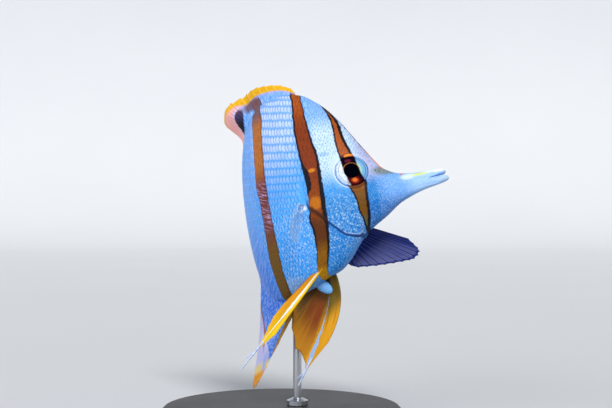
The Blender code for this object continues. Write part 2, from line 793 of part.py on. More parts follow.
def make_pelvic(name, side, tips, bow):
    columns = []
    last = len(tips) - 1
    for i in range(2 * last + 1):
        u = i / (2 * last)
        before, after = tips[i // 2], tips[min(i // 2 + 1, last)]
        is_ray = i % 2 == 0
        tip = before if is_ray else [(a + b) / 2 for a, b in zip(before, after)]
        root = [a + (b - a) * u for a, b in zip(*PELVIC_ROOT)]
        root[2] *= side
        ray_half = SPINE_HALF if i == 0 else RAY_HALF if is_ray else None
        length = 1.0 if is_ray else RAY_NOTCH
        columns.append(paired_column(root, tip, bow * (1 - u), ray_half, PELVIC_ROWS, length))
    finish(held_sheet(name, PELVIC_STATION, columns), "pelvic")


# Stand


def turned_solid(name, profile, sides, centre):
    """A solid of revolution about a vertical line, from an outer profile of (radius, z)."""
    mesh = bmesh.new()
    rings = []
    for radius, z in profile:
        ring = []
        for i in range(sides):
            a = 2 * math.pi * i / sides
            x, y = centre[0] + radius * math.cos(a), centre[1] + radius * math.sin(a)
            ring.append(mesh.verts.new((x * MM, y * MM, z * MM)))
        rings.append(ring)
    for before, after in zip(rings[:-1], rings[1:]):
        for i in range(sides):
            j = (i + 1) % sides
            mesh.faces.new((before[i], before[j], after[j], after[i]))
    mesh.faces.new(list(reversed(rings[0])))
    mesh.faces.new(rings[-1])
    face_outward(mesh)
    return as_object(name, mesh)


def make_stand():
    inner, shoulder = BASE_RADIUS - BASE_CHAMFER, BASE_HEIGHT - BASE_CHAMFER
    profile = [
        (inner, 0.0), (BASE_RADIUS, BASE_CHAMFER), (BASE_RADIUS, shoulder), (inner, BASE_HEIGHT),
    ]
    finish(turned_solid("stand_base", profile, BASE_SIDES, (0.0, 0.0)), "stand_base", STAND_CREASE)
    foot = BASE_HEIGHT + GAP
    profile = [
        (COLLAR_RADIUS, foot), (COLLAR_RADIUS, foot + COLLAR_EDGE),
        (ROD_RADIUS, foot + COLLAR_HEIGHT), (ROD_RADIUS, ROD_TOP),
    ]
    rod = turned_solid("stand_rod", profile, ROD_SIDES, ROD_AT)
    combine(rod, "DIFFERENCE", [clearance_body()])
    finish(rod, "stand_rod", STAND_CREASE)


def clear_scene():
    for obj in list(bpy.data.objects):
        bpy.data.objects.remove(obj)


def main():
    clear_scene()
    make_snout()
    make_head()
    make_gill_cover("gill_cover_right", 1)
    make_gill_cover("gill_cover_left", -1)
    make_eye("eye_right", 1)
    make_eye("eye_left", -1)
    make_trunk()
    make_tail_stalk()
    make_median_fins()
    make_tail_fin()
    make_pectoral("pectoral_right", 1, RIGHT_PECTORAL_TIPS)
    make_pectoral("pectoral_left", -1, LEFT_PECTORAL_TIPS)
    make_pelvic("pelvic_right", 1, RIGHT_PELVIC_TIPS, RIGHT_PELVIC_BOW)
    make_pelvic("pelvic_left", -1, LEFT_PELVIC_TIPS, LEFT_PELVIC_BOW)
    make_stand()


main()
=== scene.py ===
import math

import bmesh
import bpy
import numpy as np
from mathutils import Matrix, Vector


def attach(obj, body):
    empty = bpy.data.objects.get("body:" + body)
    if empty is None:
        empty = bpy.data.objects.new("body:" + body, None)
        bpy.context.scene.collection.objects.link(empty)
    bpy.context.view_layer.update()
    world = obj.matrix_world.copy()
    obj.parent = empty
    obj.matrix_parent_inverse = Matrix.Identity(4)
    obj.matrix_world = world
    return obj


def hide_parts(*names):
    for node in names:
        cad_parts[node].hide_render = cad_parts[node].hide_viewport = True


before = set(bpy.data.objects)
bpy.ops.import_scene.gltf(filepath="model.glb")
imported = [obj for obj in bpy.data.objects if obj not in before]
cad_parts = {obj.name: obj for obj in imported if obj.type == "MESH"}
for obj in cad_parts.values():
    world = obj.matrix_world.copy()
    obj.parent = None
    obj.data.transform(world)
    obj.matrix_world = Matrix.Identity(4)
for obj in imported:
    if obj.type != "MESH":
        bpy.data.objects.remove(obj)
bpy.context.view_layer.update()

MM = 0.001

# The swimming pose: heading of the body axis at distances along it, then bank and pitch
HEADINGS = ((0, 8), (46, 8), (98, 80), (150, 86))
BANK = 15.0
PITCH = 10.5
SNOUT_AT = np.array((68, -14, 101))

# Side profile and thickness of the body without its fins
BODY_LENGTH = 128.0
BACK = (
    (0, 1.9), (0.7, 3.3), (2.2, 4.4), (4.2, 4.7), (10.2, 4.7), (18.7, 5.9), (24.9, 9.2),
    (31.3, 19.1), (39.7, 34.2), (46, 42.6), (53.1, 48.4), (62, 51.4), (72, 51.4), (82, 48),
    (92, 41), (102, 31), (112, 19.5), (120, 10.5), (128, 7.2),
)
BELLY = (
    (0, -0.5), (0.7, -1.2), (2.4, -1.7), (10.2, -2.8), (20.4, -5.8), (27.7, -10.2), (35.3, -14.4),
    (40.7, -19.2), (45.4, -24.5), (50.7, -28.3), (56, -29.6), (65, -32.5), (76, -34), (86, -32),
    (96, -26), (106, -18), (116, -9.5), (122, -5.2), (128, -4.4),
)
HALF_WIDTH = (
    (0, 1.1), (0.8, 1.9), (2.2, 2.4), (3.2, 2.4), (4.2, 2.1), (7, 2.3), (10, 2.6), (18, 3.4),
    (25, 5.2), (32, 7.4), (40, 9.4), (50, 11), (58, 11.3), (68, 10.6), (80, 8.8), (92, 6.6),
    (104, 4.6), (114, 3.1), (122, 2.2), (128, 1.8),
)
WIDEST_LEVEL = ((0, 1.4), (20, 1), (40, 2), (62, 2), (92, 4), (128, 1.4))
BACK_EDGE = ((0, 0.2), (48, 0.2), (54, 1.2), (110, 1.1), (128, 0.8))
BELLY_EDGE = ((0, 0.2), (68, 0.2), (76, 1.2), (110, 1.1), (128, 0.8))
BACK_TAPER = ((0, 0.8), (30, 1), (60, 1.25), (128, 1.2))
BELLY_TAPER = ((0, 0.8), (30, 0.8), (60, 0.8), (90, 1.1), (128, 1.1))
THINNEST_EDGE = 0.1
BLUNTEST_EDGE = 0.8
SKIN_DEPTH = 0.12

# How finely the skin is drawn: steps between rings, by where they begin, and places in a ring
RING_STEPS = ((0, 0.3), (9, 0.55), (27, 0.33), (58, 0.8), (BODY_LENGTH, 0.8))
RING_SIDES = 136
EYE_CROWD = 2.2
CROWN_SHARES = (0.62, 0, -0.62)

# Head features in (s, z)
MOUTH_LEVEL = 1.4
MOUTH_REACH = 6.0
MOUTH_UPPER = ((-1, 2.15), (0.6, 2.1), (2.2, 2), (4.6, 1.8), (8, 1.25))
MOUTH_LOWER = ((-1, 0.6), (0.6, 0.75), (2.2, 0.85), (4.6, 0.9), (8, 0.98))
JAW_SET_BACK = ((-1.7, 0.9), (-0.6, 0), (0.2, 0.2), (0.8, 0.9), (2.1, 1.1), (2.8, 0.5), (4.6, 1.4))
NOSTRILS = ((28.2, 8.2, 0.5), (29.3, 10.4, 0.42))
EYE_AT = (37.3, 9.2)
EYE_RADIUS = 6.6
EYE_DEPTH = 3.8
EYE_SUNK = 1.4
PUPIL_AT = (37.9, 8.5)
PUPIL_RADIUS = 3.2
EYE_FRONT_RINGS = 40
EYE_SIDES = 96
GILL_EDGE = (
    (52, 16), (54.6, 10), (55.4, 4), (55, -2.8), (51.5, -7.5), (49, -10.9), (44.5, -16.1),
    (40, -17), (36.6, -15.2),
)
CHEEK_EDGE = ((47.4, 13), (46.4, 8), (45.8, 2), (44.4, -4), (41.8, -9.5), (38.6, -13.4))

# Median fins: where rays root along the back or belly, and where they end as (root, s, z)
DORSAL_SPINES = 9
DORSAL_SPINE_TIPS = (
    (54.8, 57.4, 53.4), (58.4, 61.6, 56.2), (65.7, 70.4, 59.3), (73, 79.2, 61), (84, 92.2, 60.5),
)
DORSAL_RAYS = 28
DORSAL_RAY_TIPS = (
    (83.7, 91.9, 60.4), (90, 97.4, 58.4), (95, 102.6, 57.4), (100, 105.6, 54.4), (104, 105.4, 48.4),
    (110, 110.6, 35.6), (116, 117.8, 22), (121.5, 123.2, 10.6),
)
ANAL_SPINES = 3
ANAL_SPINE_TIPS = ((76.4, 79.2, -42.5), (78.6, 84.4, -50.6), (80.8, 90, -58.2))
ANAL_RAYS = 20
ANAL_RAY_TIPS = (
    (80.5, 89.7, -58.6), (86, 94.6, -64.2), (89.5, 97.4, -65.2), (94, 101.2, -63.6),
    (99, 105.6, -58), (105, 110, -49), (111, 114.6, -37), (117, 119.2, -23), (122, 123.6, -9),
)
TAIL_RAYS = 17
TAIL_RAY_TIPS = (
    (-3.9, 147.6, -14), (-3, 149.2, -11.6), (1.4, 150, 1.4), (5.8, 149.2, 14.4), (6.7, 147.6, 16.8),
)
MEDIAN_ROWS = 30
CROWD_TO_MARGIN = 0.9
TAIL_ROWS = 34
ROOT_SUNK = 1.2
FIN_GAP = 0.45
DORSAL_LEAN = 7.0
DORSAL_LEAN_ALONG = (84, 97)
DORSAL_LEAN_UP = (46, 57)
ANAL_LEAN_DEPTH = 5.0
ANAL_LEAN = ((76, 0.4), (84, 0.44), (100, 0.4), (115, 0.27), (122, 0.25))

# Spines and filaments: round rods, with their radii along them
ROD_SIDES = 10
SPINE_RADII = (0.3, 0.14)
SPINES_BARE = ((54, 72, 84), (0.5, 0.76, 0.97))
SPINE_END = 1.01
FILAMENT_RAY = 1.0
FILAMENT_RADII = (0.42, 0.42, 0.26)
FORK_SPREAD = 2.4

# Paired fins, each held rigidly at a station of the body: places are (back, z, w) from there
PECTORAL_STATION = 56.7
PECTORAL_ROOT = ((0.3, -0.3, 10), (1.4, -5.6, 10))
PECTORAL_LAG = 1.4
PECTORAL_RAYS = 15
PECTORAL_ROWS = 36
RIGHT_PECTORAL_TIPS = (
    (0, (-10, -11, 40)), (0.25, (-8.7, -15.8, 46)), (0.5, (-5.8, -18.3, 42)),
    (0.7, (-3.4, -19.9, 36)), (0.88, (-0.9, -19, 26)), (1, (1.1, -16.1, 18)),
)
LEFT_PECTORAL_TIPS = (
    (0, (-28.5, -17, -27)), (0.2, (-31.2, -22.6, -30)), (0.4, (-27.6, -25.9, -28)),
    (0.65, (-17.4, -26.2, -22)), (0.85, (-8.6, -25.8, -16)), (1, (-3, -22.6, -13.5)),
)
PELVIC_STATION = 57.0
PELVIC_ROOT = ((-1.6, -26.2, 4.2), (1.8, -26.4, 4.6))
RIGHT_PELVIC_TIPS = (
    (24, -48.2, 6.3), (41.3, -58.9, 8), (34.8, -52.2, 8), (28.9, -46.5, 7.5), (24, -41.4, 7),
    (17.6, -36.6, 6.5),
)
LEFT_PELVIC_TIPS = (
    (7.7, -54.6, -7), (24.8, -68.7, -8), (21.7, -61, -7.5), (22.7, -53.3, -7), (22.4, -45, -6.5),
    (21, -37.2, -6),
)
PELVIC_BOWS = {1: 0, -1: 4.6}
PELVIC_ROWS = 60
MEMBRANE_SHARES = {1: (1, 0.84, 0.82, 0.92, 0.97, 1), -1: (1, 0.89, 0.94, 1, 1, 1)}

# The soft lobe between the pelvic fins
LOBE_AT = (60.6, -2.4, -32)
LOBE_HALF = (5.2, 1.5, 2.5)
LOBE_TILT = math.radians(42)
LOBE_PAINTED_BACK = 4.0
LOBE_RINGS = 24
LOBE_SIDES = 40

# Orange bars on the flank, edge by edge: where along the body each lies at a height z
BAR_1_FRONT = (
    (-17, 36.5), (-11.6, 34.2), (-8.1, 33.5), (-0.5, 32.8), (3.7, 32.4), (8.6, 34), (13, 35),
    (17.8, 36.4), (24, 38.2), (33.2, 39.9), (44, 45.6),
)
BAR_1_REAR = (
    (-17, 36.8), (-11.5, 37), (-7.7, 37.8), (-3.8, 38), (0.5, 39), (5.2, 41), (14, 41.2), (20, 42),
    (32.9, 42.6), (44, 46.6),
)
BAR_2_FRONT = (
    (-30, 55.6), (-27.6, 54.2), (-20.7, 51.5), (-13.2, 50), (-5.5, 49.4), (15.7, 48.9), (24.9, 50),
    (34.7, 51.2), (44.8, 52.5), (56, 55),
)
BAR_2_REAR = (
    (-30, 58.6), (-26.9, 57.8), (-19.8, 55.8), (-11.7, 55.4), (-7.5, 55.8), (-3.5, 54.8), (6, 54.5),
    (18, 55.2), (27.2, 55.9), (46.2, 56.4), (56, 60),
)
BAR_2_FRONT_RIM = (
    (-28, 0.2), (-22, 0.7), (-14, 1), (0, 1.5), (8, 1.3), (16, 1), (26, 0.7), (40, 0.45), (56, 0.3),
)
BAR_2_REAR_RIM = (
    (-30, 0), (-20, 0.4), (-10, 0.8), (-5.5, 0.6), (-2, 0.15), (1.5, 0.2), (5, 1.5), (10, 1.9),
    (14.5, 1.2), (20, 0.7), (56, 0.6),
)
BAR_3_FRONT = (
    (-62, 84), (-46, 77.6), (-31, 72.2), (-20, 70.9), (-11, 70), (42, 70), (48.7, 72), (56, 75),
)
BAR_3_REAR = (
    (-62, 91), (-46, 84), (-29.5, 77.6), (-17, 76.8), (-6, 75.3), (8, 75), (14, 76), (30, 75.4),
    (43, 76.8), (50, 79), (56, 82),
)
BAR_4_FRONT = (
    (-26, 107.5), (-22.5, 102.5), (-17.5, 97.8), (-12, 95.8), (0, 97.5), (40, 96), (60, 97),
)
BAR_4_REAR = ((-26, 106.4), (-21, 106), (0, 106), (40, 104.5), (60, 103))
BAR_5_FRONT = ((-20, 121.4), (0, 121), (20, 121.4))
BAR_5_REAR = ((-20, 126.6), (0, 126.2), (20, 126.6))
EYESPOT_AT = (91.4, 51.2)
EYESPOT_SIZE = (2.5, 4.6)
EYESPOT_SLANT = 0.6
LAVENDER_FROM = ((-62, 86), (-56, 88), (-50, 91), (-45, 96), (-39.5, 101.6), (-29, 114))
ANAL_LINE = ((-62, 94), (-54, 95.4), (-48, 97), (-39.5, 102), (-29, 115), (-20, 122))


# Curves and placing


def smooth(knots, x):
    """The heights at x of a curve through the knots that never overshoots them."""
    places, heights = np.array(knots, float).T
    x = np.clip(np.asarray(x, float), places[0], places[-1])
    i = np.clip(np.searchsorted(places, x, side="right") - 1, 0, len(places) - 2)
    widths = np.diff(places)
    slopes = np.diff(heights) / widths
    before, after = slopes[:-1], slopes[1:]
    same = before * after > 0
    middle = np.where(same, 2 * before * after / np.where(same, before + after, 1.0), 0.0)
    tangents = np.concatenate([slopes[:1], middle, slopes[-1:]])
    width = widths[i]
    t = (x - places[i]) / width
    return (
        heights[i] * (2 * t**3 - 3 * t**2 + 1)
        + heights[i + 1] * (3 * t**2 - 2 * t**3)
        + tangents[i] * width * (t**3 - 2 * t**2 + t)
        + tangents[i + 1] * width * (t**3 - t**2)
    )


def ramp(start, end, x):
    """Rises smoothly from 0 at start to 1 at end, or falls where end is the lower."""
    t = np.clip((np.asarray(x, float) - start) / (end - start), 0.0, 1.0)
    return t * t * (3 - 2 * t)


def bump(centre, width, x):
    """A rounded rise to 1 at the centre."""
    return np.exp(-(((x - centre) / width) ** 2))


def axis_points(s):
    """Where the body axis is at s, and its heading there in radians."""
    s = np.asarray(s, float)
    x, y = np.zeros_like(s), np.zeros_like(s)
    heading = np.full_like(s, math.radians(HEADINGS[0][1]))
    last = len(HEADINGS) - 2
    for k, ((s0, a0), (s1, a1)) in enumerate(zip(HEADINGS[:-1], HEADINGS[1:])):
        start, turn = math.radians(a0), math.radians(a1 - a0)
        run = np.clip(s, -np.inf if k == 0 else s0, np.inf if k == last else s1) - s0
        turned = turn * run / (s1 - s0)
        chord = run * np.sinc(turned / (2 * np.pi))
        x -= chord * np.cos(start + turned / 2)
        y += chord * np.sin(start + turned / 2)
        heading += turned
    return x, y, heading


POSE = np.array(
    Matrix.Rotation(math.radians(-PITCH), 3, "Y") @ Matrix.Rotation(math.radians(-BANK), 3, "X")
)


def together(*parts):
    """Arrays that fit each other, stacked as vectors."""
    return np.stack(np.broadcast_arrays(*parts), axis=-1)


def placed(points, station=None):
    """Points (s, w, z) of the straight fish in the posed model, in metres.

    Where a station is given, the body holds them rigidly there, and s counts back from it.
    """
    s, w, z = np.moveaxis(np.asarray(points, float), -1, 0)
    x, y, heading = axis_points(s if station is None else station)
    if station is not None:
        x, y = x - np.cos(heading) * s, y + np.sin(heading) * s
    level = together(x - w * np.sin(heading), y - w * np.cos(heading), z)
    return (level @ POSE.T + SNOUT_AT) * MM


# The body's surface: q is the distance over the skin, up from the widest level


def reach_from_level(s, upper):
    """The widest line's level at s, and how far the skin goes up or down from there."""
    level = smooth(WIDEST_LEVEL, s)
    return level, np.where(upper, smooth(BACK, s) - level, level - smooth(BELLY, s)) - SKIN_DEPTH


def section(s, angle):
    """The height z and half width w at s, at an angle up from the widest level."""
    upper = angle > 0
    level, reach = reach_from_level(s, upper)
    half = smooth(HALF_WIDTH, s) - SKIN_DEPTH
    edge = np.where(upper, smooth(BACK_EDGE, s), smooth(BELLY_EDGE, s))
    edge = np.maximum(np.minimum(edge, half * BLUNTEST_EDGE), THINNEST_EDGE)
    taper = np.where(upper, smooth(BACK_TAPER, s), smooth(BELLY_TAPER, s))
    width = edge + (half - edge) * np.maximum(np.cos(angle), 0.0) ** taper
    return level + reach * np.sin(angle), width


TABLE_STEP = 0.5
TABLE_S = np.arange(-1.0, BODY_LENGTH + 1.01, TABLE_STEP)
TABLE_Q = np.arange(-60.0, 60.01, 0.25)
LEVEL_ANGLE = 180


def angle_table():
    """Angles by station and q, with the lowest and the highest q of each station."""
    angles = np.radians(np.linspace(-90.0, 90.0, 2 * LEVEL_ANGLE + 1))
    z, w = section(TABLE_S[:, None], angles[None, :])
    steps = np.hypot(np.diff(z, axis=1), np.diff(w, axis=1))
    run = np.concatenate([np.zeros((len(TABLE_S), 1)), np.cumsum(steps, axis=1)], axis=1)
    run -= run[:, LEVEL_ANGLE, None]
    return np.stack([np.interp(TABLE_Q, row, angles) for row in run]), run[:, 0], run[:, -1]


ANGLE_AT, LOWEST_Q, HIGHEST_Q = angle_table()


def flank(s, q):
    """Points (s, w, z) of the bare right flank at s and q."""
    s, q = np.broadcast_arrays(np.asarray(s, float), np.asarray(q, float))
    row = np.clip((s - TABLE_S[0]) / TABLE_STEP, 0, len(TABLE_S) - 1.001)
    column = np.clip((q - TABLE_Q[0]) / (TABLE_Q[1] - TABLE_Q[0]), 0, len(TABLE_Q) - 1.001)
    i, j = row.astype(int), column.astype(int)
    a, b = row - i, column - j
    angle = (
        (1 - a) * ((1 - b) * ANGLE_AT[i, j] + b * ANGLE_AT[i, j + 1])
        + a * ((1 - b) * ANGLE_AT[i + 1, j] + b * ANGLE_AT[i + 1, j + 1])
    )
    z, w = section(s, angle)
    return together(s, w, z)


def unit(vectors):
    return vectors / np.maximum(np.linalg.norm(vectors, axis=-1, keepdims=True), 1e-12)


def flank_normal(s, q, step=0.2):
    """The directions (s, w, z) that point out of the right flank."""
    along = flank(s + step, q) - flank(s - step, q)
    up = flank(s, q + step) - flank(s, q - step)
    return unit(np.cross(up, along))


def path_through(points, count=90):
    """A smooth path through (s, z) points."""
    share = np.linspace(0, 1, len(points))
    fine = np.linspace(0, 1, count)
    return together(*(smooth(list(zip(share, column)), fine) for column in zip(*points)))


def from_path(s, z, path):
    """Distance from an (s, z) path, positive on the left of its own direction."""
    best = np.full(np.shape(s), 1e9)
    signed = np.zeros(np.shape(s))
    for (s0, z0), (s1, z1) in zip(path[:-1], path[1:]):
        ds, dz = s1 - s0, z1 - z0
        t = np.clip(((s - s0) * ds + (z - z0) * dz) / (ds * ds + dz * dz), 0.0, 1.0)
        away = np.hypot(s - s0 - ds * t, z - z0 - dz * t)
        side = np.where(ds * (z - z0) - dz * (s - s0) > 0, 1.0, -1.0)
        signed = np.where(away < best, away * side, signed)
        best = np.minimum(away, best)
    return signed


GILL_PATH = path_through(GILL_EDGE)
CHEEK_PATH = path_through(CHEEK_EDGE)


def relief(s, z):
    """How far the skin stands out of the bare flank, in millimetres, at s and z."""
    height = np.zeros(np.shape(s))
    head = (s > 24) & (s < 64)
    hs, hz = s[head], z[head]
    gill = from_path(hs, hz, GILL_PATH)
    fade = ramp(15, 9, hz) * ramp(35.5, 38.5, hs)
    cover = 0.28 * ramp(-5.0, -0.2, gill) * ramp(0.3, 0.0, gill)
    groove = -0.26 * ramp(0.0, 0.22, gill) * np.exp(-np.maximum(gill, 0.0) / 0.9)
    h = (cover + groove) * fade
    cheek = from_path(hs, hz, CHEEK_PATH)
    h += ramp(13, 9, hz) * (0.12 * bump(-0.6, 0.6, cheek) - 0.16 * bump(0.0, 0.35, cheek))
    r = np.hypot(hs - EYE_AT[0], hz - EYE_AT[1])
    turn = np.arctan2(hz - EYE_AT[1], hs - EYE_AT[0])
    h += 0.16 * bump(7.0, 0.42, r) - 2.7 * ramp(6.5, 5.7, r)
    behind = ramp(-0.35, 0.35, np.cos(turn + 0.55))
    h += behind * (0.16 * bump(8.7, 0.4, r) - 0.14 * bump(8.0, 0.3, r))
    h -= 0.1 * bump(7.75, 0.25, r)
    for s0, z0, size in NOSTRILS:
        d = np.hypot(hs - s0, hz - z0)
        h += 0.12 * bump(size * 1.5, size * 0.5, d) - 0.4 * ramp(size * 1.15, size * 0.4, d)
    h += 0.9 * np.exp(-(((hs - 57.6) / 2.2) ** 2) - ((hz + 3.0) / 3.6) ** 2) * ramp(55.2, 56.4, hs)
    height[head] = h
    tip = s < 24
    ts, tz = s[tip], z[tip]
    lips = ramp(5.4, 2.6, ts) * 0.2 * bump(MOUTH_LEVEL, 1.5, tz)
    jaw = -0.14 * bump(1.0 + 0.045 * ts, 0.3, tz) * ramp(6.4, 9.0, ts) * ramp(22.0, 14.0, ts)
    cleft = -0.1 * bump(-0.9 - 0.06 * ts, 0.35, tz) * ramp(3.4, 6.0, ts) * ramp(20.0, 12.0, ts)
    height[tip] = lips + jaw + cleft
    return height


# Meshes and objects


def add_object(name, vertices, faces, edges=()):
    """An object at the origin with these vertices, in metres, and these faces or edges."""
    data = bpy.data.meshes.new(name)
    data.from_pydata([tuple(v) for v in vertices.tolist()], edges, faces)
    data.update()
    made = bpy.data.objects.new(name, data)
    bpy.context.scene.collection.objects.link(made)
    return made


def store(obj, name, values):
    """Keeps one vector for each vertex under a name that materials read."""
    attribute = obj.data.attributes.new(name, "FLOAT_VECTOR", "POINT")
    attribute.data.foreach_set("vector", np.ascontiguousarray(values, np.float32).ravel())


def coordinates(obj):
    flat = np.zeros(len(obj.data.vertices) * 3, np.float32)
    obj.data.vertices.foreach_get("co", flat)
    return flat.reshape(-1, 3).astype(float)


def face_outward(obj):
    """Turns every face of a closed mesh outward."""
    mesh = bmesh.new()
    mesh.from_mesh(obj.data)
    bmesh.ops.recalc_face_normals(mesh, faces=mesh.faces)
    if mesh.calc_volume(signed=True) < 0:
        bmesh.ops.reverse_faces(mesh, faces=mesh.faces)
    mesh.to_mesh(obj.data)
    mesh.free()


def apply_modifiers(obj):
    """Turns an object with live modifiers into a plain mesh."""
    graph = bpy.context.evaluated_depsgraph_get()
    drawn = bpy.data.meshes.new_from_object(obj.evaluated_get(graph))
    obj.modifiers.clear()
    before, obj.data = obj.data, drawn
    bpy.data.meshes.remove(before)
    drawn.name = obj.name


def dress(obj, material, replaced=(), crease=None):
    """Shades, colours and mounts a finished piece, which stands for the replaced nodes."""
    obj.data.materials.clear()
    obj.data.materials.append(material)
    obj.data.shade_smooth()
    if crease:
        obj.data.set_sharp_from_angle(angle=math.radians(crease))
    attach(obj, "root")
    if replaced:
        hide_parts(*replaced)


def grid_faces(rows, columns, first=0, around=False, flip=False):
    """Quads over a grid of vertices, closed around its columns if asked."""
    grid = first + np.arange(rows * columns).reshape(rows, columns)
    beside = np.roll(grid, -1, axis=1)
    quads = np.stack([grid[:-1], grid[1:], beside[1:], beside[:-1]], axis=-1)
    quads = quads if around else quads[:, :-1]
    return quads.reshape(-1, 4)[:, :: -1 if flip else 1].tolist()


def globe_faces(rows, columns):
    """Faces over closed rings, and from the first and the last to the two poles after them."""
    faces = grid_faces(rows, columns, around=True)
    last, pole = (rows - 1) * columns, rows * columns
    for j in range(columns):
        k = (j + 1) % columns
        faces += [(j, k, pole), (last + k, last + j, pole + 1)]
    return faces


# Skin


def ring_places():
    """Where along the body the skin's rings lie."""
    places = [0.0]
    for (start, step), (end, _) in zip(RING_STEPS[:-1], RING_STEPS[1:]):
        count = round((end - start) / step)
        places += [start + (end - start) * (i + 1) / count for i in range(count)]
    return np.array(places)


def ring_levels(s):
    """The q of each place in the right half of the ring at s, closer together by the eye."""
    low, high = (np.interp(s, TABLE_S, limit) for limit in (LOWEST_Q, HIGHEST_Q))
    q = np.linspace(low, high, 500)
    crowd = 1 + EYE_CROWD * bump(EYE_AT[1] - 2.0, 7.0, q) * bump(EYE_AT[0], 9.0, s)
    share = np.concatenate([[0.0], np.cumsum(crowd[1:] + crowd[:-1])])
    return np.interp(np.linspace(0, share[-1], RING_SIDES), share, q)


def skin_points(s, q):
    """Points (s, w, z) of the right side of the finished skin, and its normals there."""
    bare, normal = flank(s, q), flank_normal(s, q)
    height = relief(bare[..., 0].ravel(), bare[..., 2].ravel()).reshape(bare.shape[:-1])
    return bare + normal * height[..., None], normal


def crown(side_points, up):
    """Rounds the top or bottom of each ring between its two sides."""
    edge = side_points[:, None, :]
    share = np.array(CROWN_SHARES)
    points = np.repeat(edge, len(share), axis=1)
    points[..., 1] = edge[..., 1] * share
    points[..., 2] += up * edge[..., 1] * 0.3 * (1 - share**2)
    return points


def make_skin(material):
    places = ring_places()
    levels = np.stack([ring_levels(s) for s in places])
    right, _ = skin_points(places[:, None] + 0 * levels, levels)
    left = right[:, ::-1] * (1, -1, 1)
    over, under = crown(right[:, -1], 1), crown(left[:, -1] * (1, -1, 1), -1)[:, ::-1]
    rings = np.concatenate([right, over, left, under], axis=1)
    poles = [rings[0].mean(axis=0) - (0.5, 0, 0), rings[-1].mean(axis=0) + (0.4, 0, 0)]
    vertices = np.concatenate([rings.reshape(-1, 3), poles])
    skin = add_object("skin", vertices, globe_faces(*rings.shape[:2]))
    face_outward(skin)
    cut_mouth(skin)
    straight = coordinates(skin)
    depth = depth_below(straight)
    # The depth drives painted shade in the skin's hollows; it fades out at the very tip of the snout
    depth[:, 0] *= ramp(0.6, 2.2, straight[:, 0])
    straight[:, 0] += smooth(JAW_SET_BACK, straight[:, 2]) * ramp(5.5, 0.0, straight[:, 0])
    store(skin, "lie", straight[:, [0, 2, 1]])
    store(skin, "depth", depth)
    skin.data.vertices.foreach_set("co", placed(straight).astype(np.float32).ravel())
    nodes = ("snout", "head", "gill_cover_right", "gill_cover_left", "trunk", "tail_stalk")
    dress(skin, material, nodes)


def depth_below(straight):
    """How deep each point lies under the bare flank and how far from the gill's edge."""
    s, w, z = straight.T
    upper = z > smooth(WIDEST_LEVEL, s)
    level, reach = reach_from_level(s, upper)
    rise = np.clip(np.abs(z - level) / reach, 0.0, 1.0)
    _, bare = section(s, np.where(upper, 1, -1) * np.arcsin(rise))
    depth = np.clip(bare - np.abs(w), -1.0, 3.0) * (rise < 0.97)
    gill = np.full_like(depth, 9.0)
    near = (s > 30) & (s < 64) & (z < 18)
    gill[near] = from_path(s[near], z[near], GILL_PATH)
    return together(depth, gill, 0.0)


def cut_mouth(skin):
    """Cuts the mouth as a curved slot through the tip of the snout."""
    upper, lower = path_through(MOUTH_UPPER, 14), path_through(MOUTH_LOWER, 14)
    outline = np.concatenate([lower, upper[::-1]])
    sides = [together(outline[:, 0], w, outline[:, 1]) for w in (MOUTH_REACH, -MOUTH_REACH)]
    count = len(outline)
    faces = [tuple(range(count)), tuple(range(2 * count - 1, count - 1, -1))]
    faces += [(i, count + i, count + (i + 1) % count, (i + 1) % count) for i in range(count)]
    cutter = add_object("mouth", np.concatenate(sides), faces)
    face_outward(cutter)
    boolean = skin.modifiers.new("mouth", "BOOLEAN")
    boolean.operation = "DIFFERENCE"
    boolean.object = cutter
    boolean.solver = "EXACT"
    apply_modifiers(skin)
    data = cutter.data
    bpy.data.objects.remove(cutter)
    bpy.data.meshes.remove(data)


# Scales: thin curved plates in rows, each set on the skin and lifted at its rear edge

PLATE_ALONG = np.array((0.0, 0.42, 0.8, 1.0))
PLATE_HALF = np.array((0.85, 1.0, 0.95, 0.66))
PLATE_ACROSS = np.array((-1.0, 0.0, 1.0))
PLATE_UNDER = 12
PLATE_CORNERS = 13
PLATE_RIM = (0, 1, 2, 5, 8, 11, 10, 9, 6, 3)
PLATE_OVERLAP = 1.75
PLATE_REACH = 0.51
PLATE_SUNK = 0.1
PLATE_LIFT = 0.075
PLATE_DOME = 0.02
PLATE_SIDE_LIFT = 0.012
PLATE_THICK = 0.16
PLATE_ROOT = 0.4
PLATE_CREASE = 50
UNWRAP_MM = np.array((150.0 / 0.96, 260.0))
UNWRAP_FROM = (0.02, 0.25)
PATCH = 0.003

# The fine scales of head and breast end here, and the coarse ones begin
FINE_SCALES_END = ((-36, 62), (-12, 58), (-2, 55.6), (10, 52), (20, 49.6), (46, 49))

# Rows of scales by piece: whether fine, from and to along s and q, the pitch in a row,
# the spacing of rows and their climb toward the tail by q, how far out of line they lie,
# the room they leave by the head's features, and the seed of their draws
SCALES = (
    (
        "scales_trunk", False, (41, 111), (-60, 66), 1.3,
        ((-46, 1.9), (-20, 2.1), (0, 2.7), (14, 3.6), (30, 3.8), (62, 3.2)),
        ((-46, 0), (-10, 0.12), (10, 0.3), (30, 0.38), (60, 0.4)), 0.04, 1.3, 3,
    ),
    (
        "scales_head", True, (28.5, 62), (-36, 50), 1.05,
        ((-34, 1.1), (0, 1.1), (20, 1.35), (46, 1.5)), ((-34, 0), (46, 0.16)), 0.12, 1.2, 5,
    ),
    (
        "scales_tail", False, (110, 127), (-26, 26), 1.15,
        ((-26, 1.5), (26, 1.5)), ((-26, 0), (26, 0)), 0.06, 1.2, 7,
    ),
)


